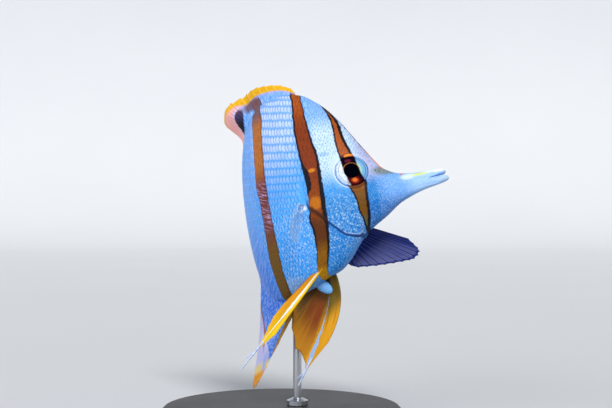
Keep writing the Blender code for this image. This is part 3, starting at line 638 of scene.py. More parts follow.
def scale_rows(s_range, q_range, pitch, spacing, climb, out_of_line, seed):
    """Staggered rows of scales, each as its s, q, length, half height and climb."""
    draw = np.random.default_rng(seed)
    middle = sum(s_range) / 2
    rows = []
    level = q_range[0]
    while level < q_range[1]:
        above = level + float(smooth(spacing, level))
        s = np.arange(s_range[0] + (len(rows) % 2) * pitch / 2, s_range[1], pitch)
        rise, rise_above = float(smooth(climb, level)), float(smooth(climb, above))
        q = level + rise * (s - middle)
        gap = above + rise_above * (s - middle) - q
        rows.append(together(s, q, pitch * PLATE_OVERLAP, PLATE_REACH * gap, rise))
        level = above
    rows = np.concatenate(rows)
    rows[:, :2] += draw.normal(0.0, out_of_line, (len(rows), 2)) * (pitch, 2 * pitch)
    return rows


def scale_plates(name, rows, material):
    """One mesh of scales on both flanks."""
    s, q, length, half, climb = (column[:, None, None] for column in rows.T)
    along, across = PLATE_ALONG[None, :, None], PLATE_ACROSS[None, None, :]
    lag = 0.08 * length * across**2 * (along > 0)
    x = s + along * length - lag
    points, normal = skin_points(x, q + PLATE_HALF[None, :, None] * across * half + climb * (x - s))
    rise = PLATE_LIFT * along - PLATE_SUNK * (1 - along) ** 3
    dome = PLATE_DOME * (1 - across**2) * np.sin(np.pi * 0.9 * along)
    lift = (rise + dome) * (half / 1.45) ** 0.5 * (1 - 0.6 * ramp(72, 82, s))
    lift = lift * (1 - across**2) + PLATE_SIDE_LIFT * across**2 * (along > 0)
    top = points + normal * lift[..., None]
    under = points[:, 1, 1] - normal[:, 1, 1] * PLATE_THICK
    count = len(rows)
    local = np.concatenate([top.reshape(count, PLATE_UNDER, 3), under[:, None]], axis=1)
    plate = np.zeros((count, PLATE_CORNERS, 3))
    plate[:, :PLATE_UNDER, 0] = np.repeat(PLATE_ALONG, len(PLATE_ACROSS))
    plate[:, :PLATE_UNDER, 1] = np.tile(PLATE_ACROSS, len(PLATE_ALONG))
    plate[:, PLATE_UNDER, 0] = PLATE_ROOT
    plate[:, :, 2] = np.random.default_rng(count).random(count)[:, None]
    faces = grid_faces(len(PLATE_ALONG), len(PLATE_ACROSS))
    faces += [(a, b, PLATE_UNDER) for a, b in zip(PLATE_RIM, PLATE_RIM[1:] + PLATE_RIM[:1])]
    straight = np.concatenate([(local * (1, side, 1)).reshape(-1, 3) for side in (1, -1)])
    all_faces = []
    for first, step in ((0, 1), (count * PLATE_CORNERS, -1)):
        offsets = first + PLATE_CORNERS * np.arange(count)
        for face in faces:
            all_faces += (offsets[:, None] + np.array(face[::step])).tolist()
    made = add_object(name, placed(straight), all_faces)
    store(made, "lie", straight[:, [0, 2, 1]])
    store(made, "plate", np.tile(plate.reshape(-1, 3), (2, 1)))
    unwrap_plates(made, rows, plate[0])
    dress(made, material, crease=PLATE_CREASE)


def unwrap_plates(made, rows, plate):
    """Lays each scale as a small patch at its root's place on the skin's unwrap."""
    base = rows[:, :2] / UNWRAP_MM + UNWRAP_FROM
    both = np.concatenate([base, base + (0.0, 0.5)])
    corners = np.zeros(len(made.data.loops), np.int32)
    made.data.loops.foreach_get("vertex_index", corners)
    scale, corner = corners // PLATE_CORNERS, corners % PLATE_CORNERS
    within = np.stack([plate[:, 0], 0.5 + plate[:, 1] / 2], axis=-1) * PATCH
    layer = made.data.uv_layers.new(name="OFBake")
    layer.data.foreach_set("uv", (both[scale] + within[corner]).astype(np.float32).ravel())


def within_body(rows, margin):
    """Which scales lie on the flank, clear of its upper and lower edges."""
    s, q = rows[:, :2].T
    low, high = (np.interp(s, TABLE_S, limit) for limit in (LOWEST_Q, HIGHEST_Q))
    return (q > low + margin) & (q < high - margin)


def clear_of_head_features(s, z, size):
    """Which places lie clear of the eye, the nostrils and the gill opening."""
    clear = np.hypot(s + size / 2 - EYE_AT[0], z - EYE_AT[1]) > 7.6 + size / 2
    for s0, z0, radius in NOSTRILS:
        clear &= np.hypot(s + size / 2 - s0, z - z0) > radius + 1.0
    gill = from_path(s, z, GILL_PATH)
    near_gill = (gill > -size * 1.35) & (gill < 0.25) & (z < 7) & (s > 37)
    return clear & ~near_gill


def make_scales(material):
    """Coarse scales on the trunk and the tail stalk, and fine ones on head and breast."""
    for name, fine, s_range, q_range, pitch, spacing, climb, out_of_line, room, seed in SCALES:
        rows = scale_rows(s_range, q_range, pitch, spacing, climb, out_of_line, seed)
        s, z = flank(*rows[:, :2].T)[:, [0, 2]].T
        keep = within_body(rows, 0.4) & clear_of_head_features(s, z, room)
        keep &= (s < smooth(FINE_SCALES_END, z)) == fine
        scale_plates(name, rows[keep], material)


def make_belly_lobe(material):
    """The soft lobe that hangs between the roots of the pelvic fins."""
    around = np.linspace(0, 2 * np.pi, LOBE_SIDES, endpoint=False)
    down = np.linspace(0, np.pi, LOBE_RINGS + 2)[1:-1, None]
    rings = together(np.cos(down), np.sin(down) * np.cos(around), np.sin(down) * np.sin(around))
    ball = np.concatenate([rings.reshape(-1, 3), [(1, 0, 0), (-1, 0, 0)]])
    along, w, across = (ball * LOBE_HALF).T
    lean, rise = math.cos(LOBE_TILT), math.sin(LOBE_TILT)
    straight = together(along * lean - across * rise, w, along * rise + across * lean) + LOBE_AT
    made = add_object("belly_lobe", placed(straight), globe_faces(LOBE_RINGS, LOBE_SIDES))
    store(made, "lie", straight[:, [0, 2, 1]] + (LOBE_PAINTED_BACK, 0, 0))
    store(made, "depth", np.tile((0.0, -9.0, 0.0), (len(straight), 1)))
    face_outward(made)
    dress(made, material)


# Fins


def ray_ridges(across, share, first_fork, second_fork):
    """Height from 0 to 1 of soft rays that fork twice, by rays across and share of length."""
    from_ray = across - np.round(across)
    one = 0.2 * ramp(first_fork, 1.0, share)
    two = 0.09 * ramp(second_fork, 1.0, share)
    width = 0.15 - 0.09 * share
    return np.max([bump(a * one + b * two, width, from_ray) for a in (-1, 1) for b in (-1, 1)], axis=0)


def fan(rays, rows, steps=12):
    """Shares u across and v along a fin, and u counted in rays, as arrays that fit each other."""
    u = np.linspace(0, 1, (rays - 1) * steps + 1)[:, None]
    return u, np.linspace(0, 1, rows)[None, :], u * (rays - 1)


def scalloped(across, depth, power=0.6):
    """How long the membrane is, as a share of its rays, where it hangs back between them."""
    return 1 - depth * np.abs(np.sin(np.pi * across)) ** power


def fin_half(v, ridge, web, root, root_end, ray, ray_taper, ray_end):
    """Half a fin's thickness: its web, thicker at the root, and its rays' tapered ridges."""
    rays = ray * (1 - ray_taper * v) * ridge * ramp(1.0, ray_end, v)
    return web + root * ramp(root_end, 0.0, v) + rays


def make_sheet(name, node, points, half, rays, material, station=None):
    """A closed thin fin about a grid of places, as thick as half says on either side."""
    middle = placed(points, station)
    rows, columns = middle.shape[:2]
    normal = unit(np.cross(*np.gradient(middle, axis=(1, 0))))
    offset = normal * np.broadcast_to(half, (rows, columns))[..., None] * MM
    count = rows * columns
    vertices = np.concatenate([(middle + offset).reshape(-1, 3), (middle - offset).reshape(-1, 3)])
    faces = grid_faces(rows, columns) + grid_faces(rows, columns, first=count, flip=True)
    grid = np.arange(count).reshape(rows, columns)
    rim = np.concatenate([grid[:-1, 0], grid[-1, :-1], grid[:0:-1, -1], grid[0, :0:-1]]).tolist()
    faces += [(a, b, count + b, count + a) for a, b in zip(rim, rim[1:] + rim[:1])]
    made = add_object(name, vertices, faces)
    for key, values in (("lie", points[..., [0, 2, 1]]), ("rays", rays)):
        store(made, key, np.tile(values.reshape(-1, 3), (2, 1)))
    face_outward(made)
    dress(made, material, [node])


def spread_between(knots, u):
    """The root, s and z a share u of the way along knots of that kind."""
    root = knots[0][0] + (knots[-1][0] - knots[0][0]) * u
    return root, smooth([k[:2] for k in knots], root), smooth([(k[0], k[2]) for k in knots], root)


def up_rays(knots, u, share, root_level, lean):
    """Places (s, w, z) at a share of the length of the rays, a share u across a median fin."""
    root, tip_s, tip_z = spread_between(knots, u)
    base = root_level(root)
    s, z = root + (tip_s - root) * share, base + (tip_z - base) * share
    return together(s, lean(s, z), z)


def over_back(s):
    return smooth(BACK, s) - ROOT_SUNK


def under_belly(s):
    return smooth(BELLY, s) + ROOT_SUNK


def dorsal_lean(s, z):
    return DORSAL_LEAN * ramp(*DORSAL_LEAN_ALONG, s) * ramp(*DORSAL_LEAN_UP, z)


def anal_lean(s, z):
    below = smooth(BELLY, s) - FIN_GAP - ANAL_LEAN_DEPTH - z
    return np.maximum(below, 0.0) * smooth(ANAL_LEAN, s)


def make_median_fin(name, node, material, knots, count, root_level, lean):
    """An upright fin from rays that fan out between its first and last knot."""
    u, v, across = fan(count, MEDIAN_ROWS)
    v = v**CROWD_TO_MARGIN
    if node.endswith("spiny"):
        behind = across - np.floor(across + 1e-6)
        length = 1 - 0.05 * ramp(0.0, 1.0, behind) ** 0.8 * (behind > 1e-4)
        ridge = np.maximum(bump(0.0, 0.16 - 0.07 * v, behind), bump(1.0, 0.1 - 0.05 * v, behind))
        size, taper = 0.35, 0.6
    else:
        length = scalloped(across, 0.02)
        ridge = ray_ridges(across, v, 0.4, 0.7)
        size, taper = 0.3, 0.55
    half = fin_half(v, ridge, 0.13, 0.75, 0.3, size, taper, 0.9) - 0.07 * ramp(0.8, 1.0, v)
    points = up_rays(knots, u, v * length, root_level, lean)
    rays = together(across, v * length, ridge)
    make_sheet(name, node, points, half, rays, material)


def make_median_fins(material):
    dorsal, anal = (over_back, dorsal_lean), (under_belly, anal_lean)
    spines = (DORSAL_SPINE_TIPS, DORSAL_SPINES, *dorsal)
    rays = (DORSAL_RAY_TIPS, DORSAL_RAYS, *dorsal)
    make_median_fin("fin_dorsal_spiny", "dorsal_fin_spiny", material, *spines)
    make_spines("spines_dorsal", material, *spines)
    make_median_fin("fin_dorsal_soft", "dorsal_fin_soft", material, *rays)
    spines = (ANAL_SPINE_TIPS, ANAL_SPINES, *anal)
    rays = (ANAL_RAY_TIPS, ANAL_RAYS, *anal)
    make_median_fin("fin_anal_spiny", "anal_fin_spiny", material, *spines)
    make_spines("spines_anal", material, *spines)
    make_median_fin("fin_anal_soft", "anal_fin_soft", material, *rays)


def make_tail_fin(material):
    u, v, across = fan(TAIL_RAYS, TAIL_ROWS)
    level, tip_s, tip_z = spread_between(TAIL_RAY_TIPS, u)
    share = v * scalloped(across, 0.02)
    root = BODY_LENGTH - ROOT_SUNK
    points = together(root + (tip_s - root) * share, 0.0, level + (tip_z - level) * share)
    ridge = ray_ridges(across, v, 0.35, 0.62)
    half = fin_half(v, ridge, 0.1, 0.9, 0.25, 0.3, 0.5, 0.92)
    make_sheet("fin_tail", "tail_fin", points, half, together(across, v, ridge), material)


def root_of(places, side, u):
    """Where a paired fin's rays root, as (back, z, w) for a share u across its root."""
    back, z, w = (a + (b - a) * u for a, b in zip(*places))
    return back, z, w * side


def make_pectoral(name, side, tips, material, node):
    u, v, across = fan(PECTORAL_RAYS, PECTORAL_ROWS)
    tip = [smooth([(share, place[k]) for share, place in tips], u) for k in range(3)]
    share = v * scalloped(across, 0.012)
    lagging = share**PECTORAL_LAG
    shares = (lagging, lagging, share)
    root = root_of(PECTORAL_ROOT, side, u)
    back, z, w = (a + (b - a) * part for a, b, part in zip(root, tip, shares))
    ridge = ray_ridges(across, v, 0.45, 0.75)
    half = fin_half(v, ridge, 0.07, 0.7, 0.22, 0.24, 0.6, 0.93)
    rays = together(across, v, ridge)
    make_sheet(name, node, together(back, w, z), half, rays, material, PECTORAL_STATION)


def pelvic_places(side, tips, across, share):
    """Places (back, w, z) in a pelvic fin, by rays across and share of their length."""
    last = len(tips) - 1
    u = across / last
    tip = [np.interp(across, range(last + 1), column) for column in zip(*tips)]
    back, z, w = (a + (b - a) * share for a, b in zip(root_of(PELVIC_ROOT, side, u), tip))
    return together(back - 4 * PELVIC_BOWS[side] * (1 - u) * share * (1 - share), w, z)


def make_pelvic(name, side, tips, material, node):
    _, v, across = fan(len(tips), PELVIC_ROWS, steps=16)
    shares = enumerate(MEMBRANE_SHARES[side])
    shorter = [pelvic_places(side, tips, ray, share)[[0, 2, 1]] for ray, share in shares]
    points = pelvic_places(side, shorter, across, v * scalloped(across, 0.02, 1.0))
    ridge = ray_ridges(across, v, 0.25, 0.5)
    spine = bump(0.0, 0.25, across) * (1 - 0.6 * v)
    half = 0.1 + 0.6 * ramp(0.3, 0.0, v) + 0.32 * (1 - 0.6 * v) * ridge + 0.3 * spine
    half = half * (1 - 0.6 * ramp(0.85, 1.0, v))
    rays = together(across, v, ridge)
    make_sheet(name, node, points, half, rays, material, PELVIC_STATION)


def make_filament(name, side, tips, material):
    """The pale drawn-out ray of a pelvic fin, which forks behind the membrane."""
    membrane = MEMBRANE_SHARES[side][1]
    start = membrane - 0.12
    share = np.linspace(start, 1.0, 26)
    main = pelvic_places(side, tips, FILAMENT_RAY, share)
    radius = np.interp(share, (start, membrane, 1.0), FILAMENT_RADII)
    run = np.linspace(0.0, 1.0, 14)
    fork = pelvic_places(side, tips, FILAMENT_RAY, membrane - 0.02 + 0.08 * run)
    fork += FORK_SPREAD * np.array((1.0, 0.1 * side, 0.35)) * (run**1.3)[:, None]
    paths = [(main, radius), (fork, FILAMENT_RADII[1] * (1 - 0.6 * run))]
    make_rods(name, paths, material, station=PELVIC_STATION)


# Rods, drawn round along paths by Geometry Nodes


def rod_tree():
    """Draws round rods along a mesh's edges, as thick as the radius at their points says."""
    tree = bpy.data.node_groups.new("rods_along_paths", "GeometryNodeTree")
    new_socket = tree.interface.new_socket
    for name, kind in (("Geometry",) * 2, ("Thickness", "Float"), ("Sides", "Int"), ("Material",) * 2):
        new_socket(name, in_out="INPUT", socket_type="NodeSocket" + kind)
    new_socket("Geometry", in_out="OUTPUT", socket_type="NodeSocketGeometry")
    add = tree.nodes.new
    given, result = add("NodeGroupInput"), add("NodeGroupOutput")
    curves, circle = add("GeometryNodeMeshToCurve"), add("GeometryNodeCurvePrimitiveCircle")
    radius, scale = add("GeometryNodeInputNamedAttribute"), add("ShaderNodeMath")
    rods, real = add("GeometryNodeCurveToMesh"), add("GeometryNodeRealizeInstances")
    painted = add("GeometryNodeSetMaterial")
    radius.data_type, scale.operation = "FLOAT", "MULTIPLY"
    radius.inputs["Name"].default_value = "radius_of_rod"
    circle.inputs["Radius"].default_value = 1.0
    rods.inputs["Fill Caps"].default_value = True
    for source, output, target, socket in (
        (given, "Geometry", curves, "Mesh"),
        (given, "Sides", circle, "Resolution"),
        (radius, "Attribute", scale, 0),
        (given, "Thickness", scale, 1),
        (curves, "Curve", rods, "Curve"),
        (circle, "Curve", rods, "Profile Curve"),
        (scale, 0, rods, "Scale"),
        (rods, "Mesh", real, "Geometry"),
        (real, "Geometry", painted, "Geometry"),
        (given, "Material", painted, "Material"),
        (painted, "Geometry", result, "Geometry"),
    ):
        tree.links.new(source.outputs[output], target.inputs[socket])
    return tree


ROD_TREE = rod_tree()


def make_rods(name, paths, material, station=None, rays=None):
    """One piece of rods, from paths of points with a radius in millimetres at each point."""
    points = np.concatenate([path for path, _ in paths])
    radii = np.concatenate([radius for _, radius in paths]) * MM
    edges, first = [], 0
    for path, _ in paths:
        edges += [(first + i, first + i + 1) for i in range(len(path) - 1)]
        first += len(path)
    made = add_object(name, placed(points, station), [], edges)
    store(made, "lie", points[:, [0, 2, 1]])
    if rays is not None:
        store(made, "rays", rays)
    radius = made.data.attributes.new("radius_of_rod", "FLOAT", "POINT")
    radius.data.foreach_set("value", radii.astype(np.float32))
    modifier = made.modifiers.new("rods", "NODES")
    modifier.node_group = ROD_TREE
    sockets = {item.name: item.identifier for item in ROD_TREE.interface.items_tree}
    modifier[sockets["Thickness"]] = 1.0
    modifier[sockets["Sides"]] = ROD_SIDES
    modifier[sockets["Material"]] = material
    apply_modifiers(made)
    face_outward(made)
    dress(made, material)


def make_spines(name, material, knots, count, root_level, lean):
    """The stiff spines of a median fin, each a tapered rod that ends a little past it."""
    paths, rays = [], []
    for k in range(count):
        u = k / (count - 1)
        ends = (np.interp(spread_between(knots, u)[0], *SPINES_BARE), SPINE_END)
        share = np.linspace(*ends, 12)
        places = up_rays(knots, u, share, root_level, lean)
        paths.append((places, np.interp(share, ends, SPINE_RADII)))
        rays.append(together(k, share, 1.0))
    make_rods(name, paths, material, rays=np.concatenate(rays))


# Eyes


def make_eye(name, side, material, node):
    """An eye whose iris slopes in to a round pupil, on a bulging dome."""
    q_fine = np.linspace(0.0, 14.0, 200)
    q = np.interp(EYE_AT[1], flank(EYE_AT[0], q_fine)[:, 2], q_fine)
    normal = flank_normal(EYE_AT[0], q)
    back = unit(np.array((1.0, 0.0, 0.0)) - normal * normal[0])
    up = np.cross(back, normal)
    up *= np.sign(up[2])
    centre = flank(EYE_AT[0], q) - normal * EYE_SUNK
    radius = np.concatenate([np.linspace(0.0, 1.0, EYE_FRONT_RINGS), np.linspace(1.0, 0.0, 14)[1:]])
    height = np.sqrt(np.maximum(1 - radius**2, 0.0))
    height[EYE_FRONT_RINGS:] *= -1
    radius *= EYE_RADIUS
    dish = 0.35 * ramp(PUPIL_RADIUS + 0.1, PUPIL_RADIUS + 0.5, radius) * ramp(6.0, 5.0, radius)
    dish[EYE_FRONT_RINGS:] = 0
    depth = EYE_DEPTH * height - dish
    turn = np.linspace(0, 2 * np.pi, EYE_SIDES, endpoint=False)
    near = ramp(EYE_RADIUS, PUPIL_RADIUS, radius)[:, None]
    shift = np.subtract(PUPIL_AT, EYE_AT)
    rings = (
        centre
        + (radius[:, None] * np.cos(turn) + shift[0] * near)[..., None] * back
        + (radius[:, None] * np.sin(turn) + shift[1] * near)[..., None] * up
        + depth[:, None, None] * normal
    )
    poles = [rings[0, 0], centre + depth[-1] * normal]
    rows = len(rings) - 2
    straight = np.concatenate([rings[1:-1].reshape(-1, 3), poles]) * (1, side, 1)
    iris = np.zeros_like(straight)
    iris[:-2] = together(radius[1:-1, None], np.cos(turn), np.sin(turn)).reshape(-1, 3)
    iris[-1, 0] = EYE_RADIUS
    made = add_object(name, placed(straight), globe_faces(rows, EYE_SIDES))
    store(made, "lie", straight[:, [0, 2, 1]])
    store(made, "iris", iris)
    face_outward(made)
    dress(made, material, [node])


# Shader maths


def paint(red, green, blue):
    """A linear colour from one given as on a colour chart, 0 to 255."""
    chart = [value / 255 for value in (red, green, blue)]
    return (*(c / 12.92 if c <= 0.04045 else ((c + 0.055) / 1.055) ** 2.4 for c in chart), 1.0)


def adds(operation):
    """A method that adds a Math node."""
    return lambda self, *others: self.net.node(
        "Math", {"operation": operation}, dict(enumerate((self, *others)))
    )


class Wire:
    """A shader socket on which arithmetic adds Math nodes."""

    def __init__(self, net, socket):
        self.net, self.socket = net, socket

    __add__ = __radd__ = adds("ADD")
    __mul__ = __rmul__ = adds("MULTIPLY")
    __sub__, __truediv__ = adds("SUBTRACT"), adds("DIVIDE")
    __pow__, __abs__ = adds("POWER"), adds("ABSOLUTE")
    least, most, floor = adds("MINIMUM"), adds("MAXIMUM"), adds("FLOOR")

    def __rsub__(self, other):
        return self.net.node("Math", {"operation": "SUBTRACT"}, {0: other, 1: self})

    def rise(self, start, end):
        """Rises smoothly from 0 at start to 1 at end, or falls where end is the lower."""
        if start > end:
            return 1 - self.rise(end, start)
        settings = {"interpolation_type": "SMOOTHSTEP"}
        return self.net.node("MapRange", settings, {0: self, 1: start, 2: end})

    def follow(self, knots, low, high):
        """A curve through (x, height) knots, whose heights lie between low and high."""
        first, last = knots[0][0], knots[-1][0]
        points = [((x - first) / (last - first), (y - low) / (high - low)) for x, y in knots]
        share = (self - first) / (last - first)
        made = self.net.node("FloatCurve", {"points": points}, {0: 1.0, 1: share})
        return made * (high - low) + low


class Net:
    """A material's nodes, with the constants of its shader."""

    def __init__(self, name, **constants):
        self.material = bpy.data.materials.new(name)
        self.material.use_nodes = True
        self.tree = self.material.node_tree
        self.shader = self.tree.nodes["Principled BSDF"]
        for socket, value in constants.items():
            self.shader.inputs[socket.replace("_", " ")].default_value = value

    def node(self, kind, settings=None, inputs=None, output=0):
        """Adds a node: its settings first, then the values or links of its sockets."""
        made = self.tree.nodes.new("ShaderNode" + kind)
        for key, value in (settings or {}).items():
            if key == "points":
                curve_points(made.mapping, value)
            else:
                setattr(made, key, value)
        for key, value in (inputs or {}).items():
            self.join(made.inputs[key], value)
        return Wire(self, made.outputs[output])

    def join(self, socket, value):
        if isinstance(value, Wire):
            self.tree.links.new(value.socket, socket)
        elif value is not None:
            socket.default_value = value

    def read(self, name):
        """A mesh attribute as its vector and its three parts."""
        vector = self.node("Attribute", {"attribute_name": name}, {}, "Vector")
        return vector, [self.node("SeparateXYZ", {}, {0: vector}, k) for k in range(3)]

    def vector(self, *parts):
        return self.node("CombineXYZ", {}, dict(enumerate(parts)))

    def blend(self, share, first, second, how="MIX"):
        """One colour laid over another."""
        settings = {"data_type": "RGBA", "blend_type": how, "clamp_factor": True}
        return self.node("Mix", settings, {0: share, 6: first, 7: second}, 2)

    def coats(self, colour, *coats):
        """A colour with others laid over it in turn, each given with its share before it."""
        for share, *over in coats:
            colour = self.blend(share, colour, *over)
        return colour

    def noise(self, vector, scale, detail=2.0, roughness=0.5):
        inputs = {"Vector": vector, "Scale": scale, "Detail": detail, "Roughness": roughness}
        return self.node("TexNoise", {}, inputs)

    def stretch(self, vector, *factors):
        """A vector with each part multiplied, to draw a pattern out along one of them."""
        return self.node("VectorMath", {"operation": "MULTIPLY"}, {0: vector, 1: factors})

    def finish(self, colour, roughness=None, bumps=None, alpha=None):
        """Feeds the shader, with bumps as their height, distance and strength."""
        normal = bumps and self.node("Bump", {}, dict(zip(("Height", "Distance", "Strength"), bumps)))
        for socket, value in zip(
            ("Base Color", "Roughness", "Normal", "Alpha"), (colour, roughness, normal, alpha)
        ):
            self.join(self.shader.inputs[socket], value)
        return self.material


def curve_points(mapping, points):
    curve = mapping.curves[0]
    while len(curve.points) < len(points):
        curve.points.new(0.5, 0.5)
    for point, place in zip(curve.points, points):
        point.location = place
        point.handle_type = "AUTO_CLAMPED"
    mapping.update()


# Markings, shared by skin, scales and median fins

S_LIMITS = (0.0, 150.0)
RIM_LIMITS = (0.0, 3.0)
SKIN_SHINE = 0.15
FIN_SHINE = 0.2

# The ground's tones carry painted light and shade: a blue cast of light over white skin, NAPE and TOP
# paler as painted light from above, REAR brighter as painted light from the side, CHIN and REAR_LOW
# deeper as painted shade.
NAPE = paint(198, 223, 252)
TOP = paint(112, 168, 250)
MIDDLE = paint(60, 154, 246)
LOW = paint(56, 158, 242)
FOOT = paint(52, 152, 238)
REAR = paint(97, 172, 255)
REAR_LOW = paint(26, 116, 232)
CHEEK = paint(4, 126, 206)
CHEEK_LOW = paint(0, 122, 208)
CHIN = paint(6, 106, 190)
SNOUT = paint(92, 158, 234)
SNOUT_TIP = paint(152, 196, 246)
FOREHEAD = paint(176, 180, 222)
GLINT = paint(236, 244, 255)
CYAN_GLINT = paint(188, 226, 246)
REAR_GLINT = paint(164, 198, 255)
LAVENDER = paint(214, 214, 242)
BLACK = paint(11, 7, 20)
BAR_TOP = paint(174, 84, 26)
BAR_MIDDLE = paint(130, 52, 14)
BAR_LOW = paint(140, 64, 6)
BAR_DARK = paint(92, 48, 8)
BAR_FOOT = paint(140, 92, 8)
BAR_3_TOP = paint(192, 114, 50)
BAR_3_MIDDLE = paint(120, 58, 52)
BAR_3_LOW = paint(112, 80, 18)
OLIVE = paint(110, 76, 12)
ORANGE = paint(240, 128, 52)
YELLOW = paint(244, 188, 20)
DEEP_GOLD = paint(216, 138, 20)
PINK = paint(255, 184, 180)

# Marks on the skin, three of them painted highlights on the snout and upper jaw: (s, z), half length,
# half height, colour and strength
SKIN_MARKS_AND_HIGHLIGHTS = (
    ((24.6, 7.9), 4.8, 2.1, paint(92, 106, 88), 0.85),
    # Painted highlight on the top of the snout
    ((16.2, 3.3), 2.9, 1.3, paint(220, 234, 246), 0.75),
    ((11.0, 3.4), 3.7, 0.65, paint(212, 226, 84), 0.9),
    ((70.0, -31.0), 6.0, 4.0, paint(140, 172, 220), 0.6),
    ((62.0, -34.0), 3.4, 3.4, paint(112, 170, 222), 0.7),
    # Painted highlights on the ridge and tip of the upper jaw
    ((6.6, 3.9), 3.2, 0.7, paint(226, 238, 240), 0.8),
    ((3.0, 3.4), 2.4, 0.8, paint(248, 240, 250), 0.9),
    ((2.4, -0.3), 2.6, 0.8, paint(198, 222, 246), 0.6),
    ((18.6, 5.2), 0.7, 0.7, paint(196, 112, 82), 0.85),
    ((47.0, 18.2), 1.6, 0.9, paint(104, 164, 226), 0.6),
)
BAR_MARKS = (
    ((51.8, 12.5), 1.2, 0.8, paint(230, 140, 32), 0.75),
    ((52.4, -1.3), 1.9, 2.6, paint(206, 120, 14), 0.7),
    ((37.8, 15.9), 1.7, 0.8, paint(252, 144, 48), 1.0),
)
EYE_MARKS = (
    ((-0.5, -4.3), 2.6, 2.0, paint(84, 18, 24), 1.0),
    ((-0.7, -4.1), 1.4, 1.2, paint(214, 74, 30), 0.7),
    ((-0.7, -4.0), 0.9, 0.8, ORANGE, 1.0),
    ((0.9, 4.5), 1.3, 0.6, paint(92, 26, 50), 1.0),
)
GOLD_FROM = ((54, 0.45), (66, 0.6), (84, 0.66), (92, 0.84), (124, 0.92))
# Half the width of the pale stripe on each pelvic fin, by share of the rays' length
NEAR_STRIPE = ((0, 0.03), (0.15, 0.09), (0.45, 0.1), (0.75, 0.015), (1, 0))
FAR_STRIPE = ((0, 0), (0.45, 0.005), (0.7, 0.04), (0.86, 0.06), (1, 0))
GILL_LINE_AT = (52.0, -6.2)
GILL_LINE_ALONG = (-0.57, -0.82)
GILL_LINE_HALF = 4.6


def spot(s, z, place, half_length, half_height):
    """Share of a soft-edged oval mark."""
    a, b = (s - place[0]) / half_length, (z - place[1]) / half_height
    return (a * a + b * b).rise(1.9, 0.2)


def marks(s, z, rows):
    """Oval marks as coats."""
    return [(spot(s, z, place, *half) * strength, tone) for place, *half, tone, strength in rows]


def even(width):
    """The same width at every height."""
    return ((-60, width), (60, width))


def bar(s, z, front, rear, front_rim, rear_rim, soft=0.22):
    """Shares of one bar's colour and of its dark rims."""
    ahead = s - z.follow(front, *S_LIMITS)
    behind = z.follow(rear, *S_LIMITS) - s
    inside = ahead.rise(-soft, soft) * behind.rise(-soft, soft)
    front_dark = (z.follow(front_rim, *RIM_LIMITS) - ahead).rise(-soft, soft)
    rear_dark = (z.follow(rear_rim, *RIM_LIMITS) - behind).rise(-soft, soft)
    return inside, front_dark.most(rear_dark)


def from_eye(s, z):
    """How far back, how far up and how far in all a place lies from the eye's centre."""
    back, up = s - EYE_AT[0], z - EYE_AT[1]
    return back, up, (back * back + up * up) ** 0.5


def ground_colour(net, s, z):
    """The blue and white between the bars, with painted light and shade: a blue cast of light over the
    white skin, paler toward the back and nape as painted light from above, brighter on the rear strip
    as painted light from the side, and deeper under the chin and low on the rear strip as painted
    shade.
    """
    cheek = net.blend(z.rise(-14, -2), CHEEK_LOW, CHEEK)
    return net.coats(
        FOOT,
        (z.rise(-22, -6), LOW),
        (z.rise(0, 14), MIDDLE),
        (z.rise(10, 34), TOP),
        (s.rise(74, 82), net.blend(z.rise(-30, 12), REAR_LOW, REAR)),
        (s.rise(56, 50) * z.rise(8, -6), cheek),
        (s.rise(52, 49) * z.rise(2, 14), net.blend(z.rise(27, 38), NAPE, TOP)),
        (s.rise(38, 31), net.blend(z.rise(2, 10), cheek, FOREHEAD)),
        (s.rise(30, 23), SNOUT),
        (s.rise(20, 12), SNOUT_TIP),
        # Painted shade under the chin
        (s.rise(42, 34) * z.rise(-1, -8), CHIN),
        *marks(s, z, SKIN_MARKS_AND_HIGHLIGHTS),
    )


def gill_groove_shade(s, z):
    """Share of the painted shade in the gill opening's groove, a dark line over the second bar."""
    off_s, off_z = s - GILL_LINE_AT[0], z - GILL_LINE_AT[1]
    away = abs(off_s * GILL_LINE_ALONG[1] - off_z * GILL_LINE_ALONG[0])
    down = abs(off_s * GILL_LINE_ALONG[0] + off_z * GILL_LINE_ALONG[1])
    return away.rise(0.9, 0.3) * down.rise(GILL_LINE_HALF + 1, GILL_LINE_HALF - 1)


def eyespot(net, s, z):
    """The dark eyespot on the soft dorsal fin, with a thin rim and a pale one around it."""
    off_s, off_z = s - EYESPOT_AT[0], z - EYESPOT_AT[1]
    a, b = (off_s + off_z * EYESPOT_SLANT) / EYESPOT_SIZE[0], off_z / EYESPOT_SIZE[1]
    away = (a * a + b * b) ** 0.5
    return (
        (away.rise(1.6, 1.3) * a.rise(-0.4, 0.8) * 0.8, LAVENDER),
        (away.rise(1.25, 1.05) * a.rise(-0.2, 0.4), paint(116, 48, 44)),
        (away.rise(1.1, 0.8), net.blend(z.rise(49, 55), BLACK, paint(74, 62, 104))),
    )


